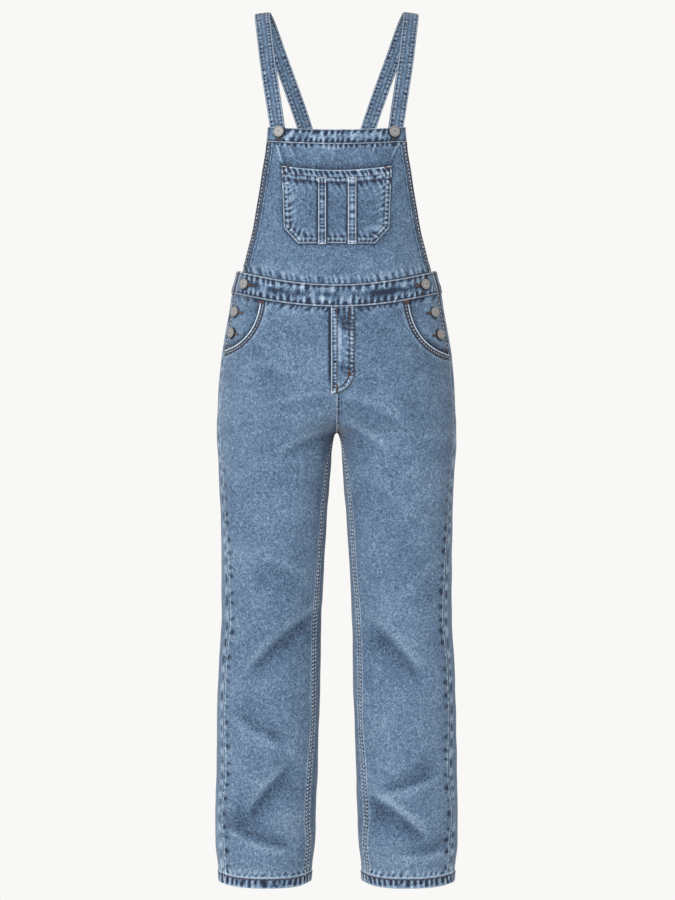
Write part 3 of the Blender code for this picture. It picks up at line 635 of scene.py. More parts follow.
# Stitches along a line mesh, which carries the cloth's normal as out.
def stitchNodes():
    tree = bpy.data.node_groups.new("stitchLine", "GeometryNodeTree")
    sockets = dict(Geometry="Geometry", Pitch="Float", Length="Float", Radius="Float", Turn="Float",
                   Unevenness="Float", Seed="Int", Thread="Material")
    for label, kind in sockets.items():
        tree.interface.new_socket(label, in_out="INPUT", socket_type="NodeSocket" + kind)
    tree.interface.new_socket("Geometry", in_out="OUTPUT", socket_type="NodeSocketGeometry")

    def add(kind, inputs=None, **settings):
        return addNode(tree, kind, inputs, **settings).outputs

    given = add("NodeGroupInput")
    curve = add("GeometryNodeMeshToCurve", {"Mesh": given["Geometry"]})["Curve"]
    places = add("GeometryNodeResampleCurve", {"Curve": curve, "Length": given["Pitch"]},
                 mode="LENGTH")["Curve"]
    tangent = add("GeometryNodeInputTangent")["Tangent"]
    out = add("GeometryNodeInputNamedAttribute", {"Name": "out"}, data_type="FLOAT_VECTOR")["Attribute"]
    along = add("FunctionNodeAlignRotationToVector", {"Vector": tangent}, axis="X")["Rotation"]
    upright = add("FunctionNodeAlignRotationToVector", {"Rotation": along, "Vector": out},
                  axis="Z", pivot_axis="X")["Rotation"]
    low = add("ShaderNodeMath", {0: given["Unevenness"], 1: -1}, operation="MULTIPLY")[0]
    wobble = add("FunctionNodeRandomValue", {"Min": low, "Max": given["Unevenness"], "Seed": given["Seed"]},
                 data_type="FLOAT")["Value"]
    about = add("ShaderNodeMath", {0: given["Turn"], 1: wobble})[0]
    spin = add("ShaderNodeCombineXYZ", {"Z": about})["Vector"]
    turnBy = add("FunctionNodeEulerToRotation", {"Euler": spin})["Rotation"]
    turned = add("FunctionNodeRotateRotation", {"Rotation": upright, "Rotate By": turnBy},
                 rotation_space="LOCAL")["Rotation"]
    sizes = dict(X=given["Length"], Y=given["Radius"], Z=given["Radius"])
    size = add("ShaderNodeCombineXYZ", sizes)["Vector"]
    shape = add("GeometryNodeObjectInfo", {"Object": stitchShape})["Geometry"]
    placed = add("GeometryNodeInstanceOnPoints",
                 {"Points": places, "Instance": shape, "Rotation": turned, "Scale": size})["Instances"]
    real = add("GeometryNodeRealizeInstances", {"Geometry": placed})["Geometry"]
    painted = add("GeometryNodeSetMaterial", {"Geometry": real, "Material": given["Thread"]})["Geometry"]
    add("NodeGroupOutput", {"Geometry": painted})
    return tree


stitchTree = stitchNodes()
stitchInputs = {item.name: item.identifier for item in stitchTree.interface.items_tree
                if item.item_type == "SOCKET" and item.in_out == "INPUT"}


# lines is a list of (points, normals) in millimetres; one object comes out, riding on the frame
def stitch(name, lines, thread, pitch=3.2, length=2.5, radius=0.42, turn=0.0, uneven=0.08, seed=1):
    points = np.concatenate([p for p, _ in lines])
    normals = np.concatenate([n for _, n in lines])
    edges, start = [], 0
    for p, _ in lines:
        edges += [(start + i, start + i + 1) for i in range(len(p) - 1)]
        start += len(p)
    mesh = bpy.data.meshes.new(name + "Line")
    mesh.from_pydata(((points + normals * radius * 0.45) * 0.001).tolist(), edges, [])
    addAttribute(mesh, "out", normals)
    line = addObject(name + "Line", mesh)
    modifier = line.modifiers.new("stitches", "NODES")
    modifier.node_group = stitchTree
    given = dict(Pitch=pitch * 0.001, Length=length * 0.001, Radius=radius * 0.001, Turn=turn,
                 Unevenness=uneven, Seed=seed, Thread=materials["thread_" + thread])
    for label, value in given.items():
        modifier[stitchInputs[label]] = value
    bpy.context.view_layer.update()
    depsgraph = bpy.context.evaluated_depsgraph_get()
    baked = bpy.data.meshes.new_from_object(line.evaluated_get(depsgraph), depsgraph=depsgraph)
    bpy.data.objects.remove(line)
    bpy.data.meshes.remove(mesh)
    baked.name = name
    made = addObject(name, baked)
    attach(made, "root")
    return made


# the part of a line between two places along it, in even steps of about 4 mm
def trim(line, out, start, end):
    both = np.concatenate([line, out], axis=1)
    run = runLength(line)
    at = np.linspace(start, run[-1] - end, max(2, int((run[-1] - start - end) / 4.0)))
    both = np.stack([np.interp(at, run, both[:, i]) for i in range(6)], axis=1)
    return both[:, :3], unit(both[:, 3:])


# a line on a piece's grid at a distance from one of its edges
def gridLine(panel, edge, offset, start=0.0, end=0.0):
    points, normals = panel["outer"], panel["normals"]
    if edge in ("top", "foot"):
        points, normals = points.transpose(1, 0, 2), normals.transpose(1, 0, 2)
    if edge in ("right", "foot"):
        points, normals = points[:, ::-1], normals[:, ::-1]
    run = runLength(points, 1)
    line, out = (
        np.array([[np.interp(offset, along, row[:, i]) for i in range(3)] for along, row in zip(run, grid)])
        for grid in (points, normals))
    return trim(line, out, start, end)


def sideLines(panel, offsets, start=1, end=1):
    return [gridLine(panel, edge, offset, start, end) for edge in ("left", "right") for offset in offsets]


# a line drawn in width and height on the front, at a height over the cloth
def frontLine(xs, zs, out, step=2.5):
    flat = resample(np.stack([xs, zs], axis=1).astype(float), step)
    points = front(flat[:, 0], flat[:, 1], out)
    return points, unit(front(flat[:, 0], flat[:, 1], out + 1.0) - points)


def offsetLine(line, distance):
    along = unit(np.gradient(line, axis=0))
    return line + distance * np.stack([along[:, 1], -along[:, 0]], axis=1)


# one call per cloth piece, and one for each kind of sewing on it

sheets = {}
barTack = dict(thread="rust", pitch=0.55, turn=math.pi / 2)
hemThread = dict(thread="rust", pitch=3.3, length=3.2, radius=0.62)
beads = dict(thread="ecru", pitch=6.3, length=3.6, radius=1.15)


def cover(node, outer, inner, wearAndShade, slot, rubSeed=None, folded=False):
    if rubSeed is not None:
        wearAndShade = wearAndShade + rubbed(outer, rubSeed)
    made, area = shell("cloth_" + node, outer, inner, wearAndShade, clothOfSlot[slot], folded)
    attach(made, "root")
    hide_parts(node)
    normals = gridNormals(outer, outer * 2 - inner)
    sheets[node] = dict(object=made, area=area, outer=outer, normals=normals, stitches=[])
    return sheets[node]


def sew(node, *lines, thread="tan", **how):
    sewn = sheets[node]["stitches"]
    name = "stitch_" + node + "_" + str(len(sewn) + 1)
    sewn.append(stitch(name, list(lines), thread, seed=len(sheets) * 7 + 3, **how))


print("tools ready")

# waistbands, folded bands with bars of puckers hanging from both seams


def waistband(node, isFront, seed):
    edge = float(sideSeam(np.array(-459.25)))
    if isFront:
        angle, heightLine = np.linspace(edge + 0.001, math.pi - edge - 0.001, 210), waistFront
    else:
        angle, heightLine = np.linspace(edge - 0.001, -math.pi - edge + 0.001, 250), waistBack
    height, pitch, reach, depth = (waist[key] for key in ("height", "pitch", "reach", "depth"))
    share = graded(height, 1.0, 2.4, near=3)[:, None]
    z = heightLine(angle, 0)[None, :] * (1 - share) + heightLine(angle, height)[None, :] * share
    angle = np.repeat(angle[None, :], len(share), axis=0)
    flat = skin(1, angle, z, 0.0)
    along = runLength(flat, 1)
    down = share * height + along * 0
    up = height - down
    ends = np.minimum(along, along[:, -1:] - along)
    middle = bell(down, 18, 7)
    blotch = noise2(along / 17 + 3, down / 9 + 3, seed + 9)
    lean = (along - 0.42 * down) / 17 + 0.6 * noise2(along / 40, down / 20, seed + 3)
    streak = streaks(lean, 0.10, seed + 4)
    net = crackle(along - 0.4 * down, down, 11, 24, seed + 21, 0.10)
    moved, wearAndShade = addMarks(0, 0, [
        pucker(down, along, pitch, 2.2, reach * 1.15, depth, 0.8, 0.35,
               duty=0.42, lean=-0.3, uneven=0.45, seed=seed),
        pucker(up, along + 4.0, pitch * 0.93, 2.2, reach * 1.25, depth, 0.9, 0.35,
               duty=0.44, lean=0.2, uneven=0.4, seed=seed + 5),
        (0.7 * middle * blotch + 0.8 * streak * middle,
         middle * (0.75 * blotch - 0.55) + 0.6 * streak + 0.8 * net - 0.2),
    ])
    quiet = ease(13, 30, ends)
    moved, wearAndShade = addMarks(moved * quiet, wearAndShade * quiet, [
        rim(np.minimum(np.minimum(down, up), ends), 0.55),
        groove(down, 2.2, 0.6), groove(up, 2.2, 0.6), groove(ends, 10.4, 0.7),
        # a pale worn fold line near each end, painted shade beyond it, and on the back band a painted dark
        # outline at its ends
        (0, 1.6 * bell(ends, 8.6, 1.1) - 0.8 * bell(ends, 0, 6.5, 4)),
        (0, buttonShade(flat, ["button_waist"]) if isFront else -1.0 * bell(ends, 0, 2.2)),
    ])
    outer, inner = skin(1, angle, z, cloth["waistbandOut"] + moved), skin(1, angle, z, -cloth["wall"])
    panel = cover(node, outer, inner, wearAndShade, "denim_faded", seed)
    sew(node, gridLine(panel, "top", 2.0), gridLine(panel, "foot", 2.0), thread="paleTan")
    sew(node, *sideLines(panel, (10.2,), 3, 3), thread="paleTan")


waistband("waistband_front", True, 11)
waistband("waistband_back", False, 31)
print("waistbands")

# bib, with turned side hems, and its band along the top
bib = dict(topHalf=114.0, footHalf=158.0, top=-207.5, dip=7.0, bandHeight=24.0)
pocket = dict(topHalf=90.0, sideHalf=86.5, footHalf=63.0, top=-273.5, dip=8.5, corner=-376.0, foot=-402.0)
pocketSide = [(pocket["topHalf"], pocket["top"]), (pocket["sideHalf"], pocket["corner"]),
              (pocket["footHalf"], pocket["foot"])]
pocketLine = resample(np.array([(-x, z) for x, z in pocketSide] + pocketSide[::-1]), 1.5)
# pulls from the band's corners, each a pale worn line with a painted highlight and painted shade beside it:
# x0, z0, x1, z1
pulls = [(-80, -238, -71, -258), (-99, -239, -89, -272), (100, -239, 90, -262), (64, -238, 58, -256)]


def pocketTop(x):
    return pocket["top"] - pocket["dip"] * (1 - (x / pocket["topHalf"]) ** 2)


def bibEdge(x):
    return bib["top"] - bib["dip"] * (1 - (x / bib["topHalf"]) ** 2)


def makeBib():
    share = graded(290, 1.2, 1.8, near=16)[None, :] * 2 - 1
    down = graded(220, 1.3, 1.9, near=16)[:, None]
    footAngle = angleAt(np.abs(share) * bib["footHalf"], np.full(share.shape, waist["top"]))
    foot = waistFront(footAngle, 0) + seamGap
    top = bibEdge(share * bib["topHalf"]) - bib["bandHeight"] - seamGap
    z = top * (1 - down) + foot * down
    half = smoothTable(bibTable, z[:, :1])[..., 0]
    x = share * half
    flat = front(x, z)
    edge, footAway, topAway = half - np.abs(x), np.abs(z - foot), np.abs(top - z)
    hem = 1 - ease(9.6, 10.5, edge)
    # shaded round the pocket, most above its open edge
    away, _ = nearLine(flat, front(pocketLine[:, 0], pocketLine[:, 1]))
    overPocket = z - pocketTop(x)
    above = np.where((np.abs(x) < pocket["topHalf"] + 2) & (overPocket > 0), overPocket, 99)
    pulled = 0
    for x0, z0, x1, z1 in pulls:
        across = x - x0 - (x1 - x0) / (z1 - z0) * (z - z0)
        span = ease(z1 - 6, z1 + 6, z) * (1 - ease(z0 - 2, z0 + 2, z))
        pulled = pulled + span * (0.7 * bell(across, 0, 1.2) - 0.3 * bell(across, 4, 2.5))
    moved, wearAndShade = addMarks(cloth["hemRaise"] * hem, 0.1 * hem, [
        # the hem's inner edge worn pale, and painted shade on the bib just past its step
        (0, 0.4 * bell(edge, 9.6, 0.8) - 0.5 * bell(edge, 11.2, 0.9)),
        pucker(footAway, x + 300, 10.5, 1.5, 12, 1.0, 0.35, 0.3, duty=0.36, lean=0.3, uneven=0.6, seed=43),
        pucker(topAway, x + 300, 9.5, 1.0, 6, 1.0, 0.8, 0.3, duty=0.45, uneven=0.5, seed=45),
        groove(edge, 1.6, 0.5), groove(edge, 6.9, 0.6),
        # painted shade along the bib's side edge, and a dark line along the bead stitching
        (0, -0.9 * bell(edge, 0, 1.3) - 0.5 * bell(edge, 4.8, 2.0)),
        (0, -0.9 * bell(away, 0, 2.0) - 0.25 * bell(away, 0, 9, 1) - 0.75 * bell(above, 0, 7, 1)),
        # the pulls, and painted shadow along the waistband and the band where they lie over the bib
        (0, pulled - 0.9 * bell(footAway, 0, 1.5) - 0.9 * bell(topAway, 0, 1.2)),
        # painted shade of a faint crease down the middle
        (0, -0.3 * bell(x, 0, 1.5) * ease(-268, -245, z)),
        (0, 0.5 * crackle(x + 300, footAway, 9, 30, 49) * bell(footAway, 0, 13, 1)),
        (0, (crackle(x + 300, topAway, 14, 40, 48) * 0.6 - 0.15) * bell(topAway, 0, 14, 1)),
    ])
    inner = front(x, z, -cloth["wall"] + 0.5 * np.minimum(moved, 0))
    # the whole bib painted slightly darker, evening out the key light
    panel = cover("bib", front(x, z, moved), inner, wearAndShade - 0.07, "denim", 47)
    sew("bib", *sideLines(panel, (2.0, 8.2)))
    sew("bib", *sideLines(panel, (4.9,), 3, 2), **dict(beads, pitch=6.2, length=3.4, radius=1.1))


def makeBibBand():
    height = bib["bandHeight"]
    share = np.linspace(-1, 1, 120)[None, :]
    down = graded(height, 0.9, 2.2, near=4)[:, None] * height
    z = bibEdge(share * bib["topHalf"]) - down
    x = share * smoothTable(bibTable, z)[..., 0]
    down = down + 0 * x
    up, ends = height - down, (1 - np.abs(share)) * bib["topHalf"] + 0 * x
    lean = (x - 0.5 * down) / 15 + 0.7 * noise2(x / 40 + 9, down / 12, 57)
    streak = streaks(lean, 0.11, 58, start=40)
    blotch = noise2(x / 12 + 60, down / 8 + 5, 56)
    net = crackle(x + 300, down, 9, 16, 54, 0.10)
    moved, wearAndShade = addMarks(0.6 * streak, 0.45 * streak + 0.8 * net + 0.4 * blotch - 0.3, [
        pucker(down, x + 300, 11.0, 1.6, 11.0, 1.1, 0.75, 0.35, duty=0.44, lean=0.35, uneven=0.5, seed=51),
        pucker(up, x + 300, 9.6, 1.9, 10.5, 1.1, 0.85, 0.4, duty=0.44, lean=-0.25, uneven=0.45, seed=55),
    ])
    quiet = ease(10, 30, ends)
    moved, wearAndShade = addMarks(moved * quiet, wearAndShade * quiet, [
        rim(np.minimum(np.minimum(down, ends), up), 0.55),
        groove(down, 1.2, 0.4), groove(up, 1.6, 0.55), groove(ends, 2.6, 0.4),
        (0, buttonShade(front(x, z, cloth["bandOut"]), ["button_bib"])),
    ])
    outer, inner = front(x, z, cloth["bandOut"] + moved), front(x, z, -cloth["wall"])
    panel = cover("bib_band", outer, inner, wearAndShade, "denim_faded", 59)
    sew("bib_band", gridLine(panel, "foot", 1.7), thread="rust")
    sew("bib_band", *sideLines(panel, (2.4,), 2, 3), gridLine(panel, "top", 1.8))


makeBib()
makeBibBand()

# bib pocket and its two strips: middle, width, seed
strips = {"pocket_strip_right": (-23.5, 12.5, 73), "pocket_strip_left": (25.0, 13.5, 77)}
strip = dict(top=-294.0, foot=-403.6, out=3.6, under=2.0, bars=(-296.5, -303.5, -395.5, -401.5))


def makePocket():
    out, topHalf, corner, foot = cloth["pocketOut"], pocket["topHalf"], pocket["corner"], pocket["foot"]
    share = graded(180, 1.1, 1.7, near=14)[None, :] * 2 - 1
    straight = graded(100, 1.1, 1.8, near=30)[:, None]
    low = corner + (foot - corner) * np.linspace(0, 1, 20)[1:, None] + 0 * share
    z = np.concatenate([pocketTop(share * topHalf) * (1 - straight) + corner * straight, low])
    side = np.interp(z, [corner, pocket["top"]], [pocket["sideHalf"], topHalf])
    cutSide = np.interp(z, [foot, corner], [pocket["footHalf"], pocket["sideHalf"]])
    x = share * np.where(z > corner, side, cutSide)
    flat = front(x, z, out)
    away, along = nearLine(flat, front(pocketLine[:, 0], pocketLine[:, 1], out))
    under = np.abs(pocketTop(x) - z)
    fromStrip = np.min([np.abs(x - middle) for middle, _, _ in strips.values()], axis=0)
    moved, wearAndShade = addMarks(0, -0.25, [
        pucker(away, along, 7.4, 3.6, 8.6, 0.7, 0.75, 0.5, uneven=0.45, seed=61),
        pucker(away, along, 10.5, 10.4, 18, 1.0, 0.55, 0.4, duty=0.38, lean=0.5, uneven=0.5, seed=63),
        pucker(under, x + 300, 9.0, 2.0, 13.0, 1.0, 0.8, 0.3, duty=0.54, lean=-0.5, uneven=0.6, seed=65),
        pucker(under, x + 300, 5.8, 13.4, 19, 0.6, 1.1, 0.3, uneven=0.4, seed=67),
        pucker(under, x + 300, 11.0, 20.6, 33, 1.0, 1.0, 0.3, duty=0.44, lean=-0.5, uneven=0.5, seed=69),
        rim(np.minimum(away, under), 0.75, 1.5), groove(away, 2.0, 0.5), groove(away, 9.2, 0.45),
        groove(under, 11.6, 0.6), groove(under, 18.8, 0.6),
        # painted shade beside the raised strips, and a dark line across below the stitching
        (0, -1.0 * bell(fromStrip, 7.6, 1.8) * ease(18, 24, under) - 0.6 * bell(under, 22.5, 2.5)),
        (0, 0.4 * crackle(x + 300, under, 12, 24, 70) * bell(np.maximum(under - 20, 0), 0, 16, 1)),
    ])
    cover("bib_pocket", front(x, z, out + moved), front(x, z, 0.35), wearAndShade, "denim", 71)
    lines = []
    for distance in (2.8, 9.0):
        ring = offsetLine(pocketLine, -distance)
        ring = ring[(ring[:, 1] < -280) & (np.abs(ring[:, 0]) < topHalf) & (ring[:, 1] > foot - 0.5)]
        lines.append(frontLine(*ring.T, out))
    sew("bib_pocket", *lines)
    across = np.linspace(-87, 87, 60)
    sew("bib_pocket", *[frontLine(across, pocketTop(across) - d, out) for d in (11.8, 19.0)], thread="rust")
    tacks = [frontLine([s * (x0 - 3), s * (x0 + 1)], [-277.0, -276.6], out + 0.5, 1.0)
             for s in (-1, 1) for x0 in (86.5, 80.5)]
    sew("bib_pocket", *tacks, length=3.0, radius=0.35, **barTack)


def makeStrip(node, middle, width, seed):
    share = graded(width, 0.8, 1.6, near=3)[None, :] - 0.5
    z = strip["top"] + (strip["foot"] - strip["top"]) * np.linspace(0, 1, 56)[:, None] + 0 * share
    x = middle + share * width + 0 * z
    edge, end = width / 2 - np.abs(x - middle), np.minimum(strip["top"] - z, z - strip["foot"])
    moved, wearAndShade = addMarks(0.5 * bell(end, 0, 8), 0.55 * bell(end, 0, 9, 4), [
        pucker(edge, -z, 8.2, 3.0, 9, 0.6, 0.4, 0.4, duty=0.36, seed=seed, uneven=0.8),
        rim(np.minimum(edge, end), 0.7, 1.4), groove(edge, 2.2),
        (0, -0.55 * bell(end, 13, 3)),
    ])
    panel = cover(node, front(x, z, strip["out"] + moved), front(x, z, strip["under"]), wearAndShade, "denim_faded")
    sew(node, *sideLines(panel, (2.0,), 2, 2))
    ends = [middle - width * 0.42, middle + width * 0.42]
    bars = [frontLine(ends, [h, h], strip["out"] + 0.3, 2) for h in strip["bars"]]
    sew(node, *bars, thread="rust", pitch=2.4, length=2.0)


makePocket()
for node, sizes in strips.items():
    makeStrip(node, *sizes)
print("bib")

# back bib, hidden in the photo, kept plain
backBib = dict(top=-300.0, topHalf=30.0, footHalf=128.0, sweep=2.2)


def makeBackBib():
    share = graded(180, 1.2, 5, near=14)[None, :] * 2 - 1
    down = graded(130, 1.6, 3.6, near=12)[:, None]
    footAngle = angleAt(np.abs(share) * backBib["footHalf"], np.full(share.shape, waist["top"] + 1))
    foot = waistBack(-footAngle, 0) + seamGap
    z = backBib["top"] * (1 - down) + foot * down
    half = backBib["topHalf"] + (backBib["footHalf"] - backBib["topHalf"]) * down ** backBib["sweep"]
    x = share * half
    edge = (half - np.abs(x)) * np.cos(np.arctan(np.gradient(half[:, 0], z[:, 0])))[:, None]
    moved, wearAndShade = addMarks(0, 0, [
        pucker(edge, -z + np.where(x < 0, 0, 300), 8.0, 3.6, 8.5, 0.7, 0.7, 0.45, duty=0.45, seed=81),
        pucker(z - foot, x + 300, 13, 1.5, 15, 1.2, 0.35, 0.4, duty=0.4, lean=0.4, seed=83),
        rim(np.minimum(edge, backBib["top"] - z), 0.45), groove(edge, 2.4, 0.4), groove(edge, 9.4),
    ])
    inner = rear(x, z, -cloth["wall"] + 0.5 * np.minimum(moved, 0))
    panel = cover("back_bib", rear(x, z, moved), inner, wearAndShade, "denim", 85)
    sew("back_bib", *sideLines(panel, (2.6, 9.2)), *[gridLine(panel, "top", d, 1, 1) for d in (2.6, 22)])


makeBackBib()

# straps: x, y, z, turn about the upright, drop of the outer edge
strap = dict(width=26.0, thick=2.4, crown=0.5)
strapRoute = [
    (95.5, -95.6, -238, 19, 0), (97.6, -94.3, -216, 19, 0), (99.8, -92.4, -198, 19, 0),
    (106.9, -84.5, -151, 15, 0), (115.5, -66.0, -94, 10, 2), (122.5, -38.0, -36, 5, 5),
    (126.0, -14.0, -7, 1, 8), (124.5, 12.0, -1, -2, 8), (114.5, 45.0, -20, -4, 6),
    (98.0, 70.0, -64, -5, 3), (76.5, 84.0, -121, -5, 0), (60.0, 91.0, -168, -5, 0),
    (40.0, 97.0, -228, -4, 0), (20.5, 99.7, -284, -2, 0), (15.2, 100.1, -306, -1, 0),
    (14.6, 100.3, -322, -1, 0),
]


def curveThrough(points, count):
    points = np.array(points, float)
    ends = np.vstack([2 * points[0] - points[1], points, 2 * points[-1] - points[-2]])
    at = runLength(points[:, :3])
    along = np.linspace(0, at[-1], count)
    i = np.clip(np.searchsorted(at, along, side="right") - 1, 0, len(points) - 2)
    t = ((along - at[i]) / np.diff(at)[i])[:, None]
    a, b, c, d = ends[i], ends[i + 1], ends[i + 2], ends[i + 3]
    return 0.5 * (2 * b + (c - a) * t + (2 * a - 5 * b + 4 * c - d) * t ** 2
                  + (3 * b - a - 3 * c + d) * t ** 3)


def makeStrap(node, side, seed):
    route = curveThrough(strapRoute, 300)
    middle, turn, drop = route[:, :3], np.radians(route[:, 3]), np.radians(route[:, 4])
    along = unit(np.gradient(middle, axis=0))
    across = np.stack([np.cos(turn) * np.cos(drop), np.sin(turn) * np.cos(drop), -np.sin(drop)], axis=1)
    across = unit(across - along * (across * along).sum(1)[:, None])
    out = np.cross(across, along)
    half = strap["width"] / 2
    place = (graded(strap["width"], 0.8, 1.8, near=3) - 0.5) * strap["width"]
    crown = -strap["crown"] * (place / half) ** 2
    flat = middle[:, None] + across[:, None] * place[None, :, None] + out[:, None] * crown[None, :, None]
    run = runLength(middle)[:, None]
    edge = half - np.abs(place)[None, :] + 0 * run
    s = run + np.where(place < 0, 0, 900)[None, :]
    moved, wearAndShade = addMarks(0.35 * noise2(s / 30, edge / 9, seed + 3), 0, [
        pucker(edge, s, 7.0, 3.4, 8.0, 0.6, 0.7, 0.4, duty=0.42, seed=seed, uneven=0.4),
        rim(edge, 0.2), groove(edge, 2.2), groove(edge, 8.2),
        # painted shade at the very edge, where the strap turns away, and a pale worn line just inside it
        (0, 0.6 * bell(edge, 1.3, 0.8) - 0.9 * bell(edge, 0, 0.7)),
    ])
    mirror = np.array([side, 1, 1])
    outer = (flat + out[:, None] * (strap["thick"] / 2 + moved[..., None])) * mirror
    inner = (flat - out[:, None] * (strap["thick"] / 2 + 0.5 * moved[..., None])) * mirror
    panel = cover(node, outer, inner, wearAndShade, "denim", seed + 5, folded=True)
    reverse = dict(outer=inner, normals=gridNormals(inner, inner * 2 - outer))
    sew(node, *sideLines(panel, (2.4, 8.4)), *sideLines(reverse, (2.4, 8.4)))


makeStrap("strap_left", 1, 91)
makeStrap("strap_right", -1, 95)
print("straps")

# legs
leg = dict(rows=3.0, hemHeight=16.5, foot=-1472.0, flyFoot=-592.0, blendFoot=-672.0, hemDip=3.0)


def panelAngles(outer, inner, z, share):
    even = np.interp(z, [-780, -713, -680, -600, -505], [180, 150, 130, 100, 90])
    even = np.radians(even) * np.sign(inner - outer)
    outer, inner, even = outer[:, None], inner[:, None], even[:, None]
    return outer * (1 - share) + even * share + (inner - even) * share ** 4


# heights of the rows below the given one, close together at the crotch and in the hem
def legRows(top, share):
    crotch = np.array([-700, -703, -705.5, -707.5, -709.2, -710.7, -712, -713.2, -714.4, -715.7, -717.2, -719,
                       -721.5, -724.5])
    hemTop = leg["foot"] + 18
    upper = np.linspace(top, crotch[0], int((top - crotch[0]) / leg["rows"]) + 1)[:-1]
    lower = np.linspace(crotch[-1], hemTop, int((crotch[-1] - hemTop) / leg["rows"]) + 1)[1:]
    rows = np.concatenate([upper, crotch, lower, hemTop - np.linspace(0, 18, 15)[1:]])
    return rows[:, None] + 0 * share


# what the marks are placed by: angle round the leg, plain form, and ways from the edges
def legPlaces(side, outerAngle, innerAngle, z, share, seam):
    angle = panelAngles(outerAngle, innerAngle, z[:, -1], share)
    flat = skin(side, angle, z, 0.0)
    run = runLength(flat, 1)
    return dict(angle=angle, flat=flat, fromOut=run, fromIn=run[:, -1:] - run,
                fromTop=np.abs(seam - z) + 0 * run, depth=-z + 0 * run)


def hemBars(z, along, seed):
    height = leg["hemHeight"]
    up = z - leg["foot"]
    return addMarks(cloth["hemRaise"] * (1 - ease(height - 0.4, height + 0.8, up)), 0, [
        # a pale worn line at the hem's top edge, and painted shade along the hem stitching
        (0, 0.7 * bell(up, height + 0.9, 1.2) - 1.0 * bell(up, height - 1.6, 1.0)),
        pucker(height - 1.8 - up, along, 10.0, 1.0, 14.5, 1.5, 1.2, 0.5,
               duty=0.44, lean=0.12, seed=seed, uneven=0.16),
        pucker(up - height, along, 10.5, 2.4, 10, 1.0, 0.55, 0.45, duty=0.4, lean=0.5, seed=seed + 3),
        rim(up, 0.55, 1.6),
    ])


def coverLeg(node, side, seed, z, places, moved, wearAndShade, marks, rubbing):
    angle, flat, depth = places["angle"], places["flat"], places["depth"]
    run, fromTop = places["fromOut"], places["fromTop"]
    face, x = np.where(np.sin(angle) > 0, 1, -1), np.abs(flat[..., 0])
    moved, wearAndShade = addMarks(moved, wearAndShade, marks + [
        creaseMarks(side, face, x, flat[..., 2]),
        # painted shade in the folds' troughs, and a painted shadow under the waistband seam
        (0, 0.12 / 9 * foldDepth(side, face, x, z) * np.abs(np.sin(angle)) - 0.9 * bell(fromTop, 0, 1.6)),
        (0, rubbed(flat, seed + 50, 34, rubbing)),
    ])
    inField = ease(5, 40, np.minimum(run, places["fromIn"])) * ease(5, 40, fromTop)
    soft = 0.9 * noise2(run / 26 + 4, depth / 34, seed + 60) * inField
    inner = skin(side, angle, z, -cloth["wall"] + 0.6 * np.minimum(moved, 0) + soft)
    return cover(node, skin(side, angle, z, moved + soft), inner, wearAndShade, "denim")


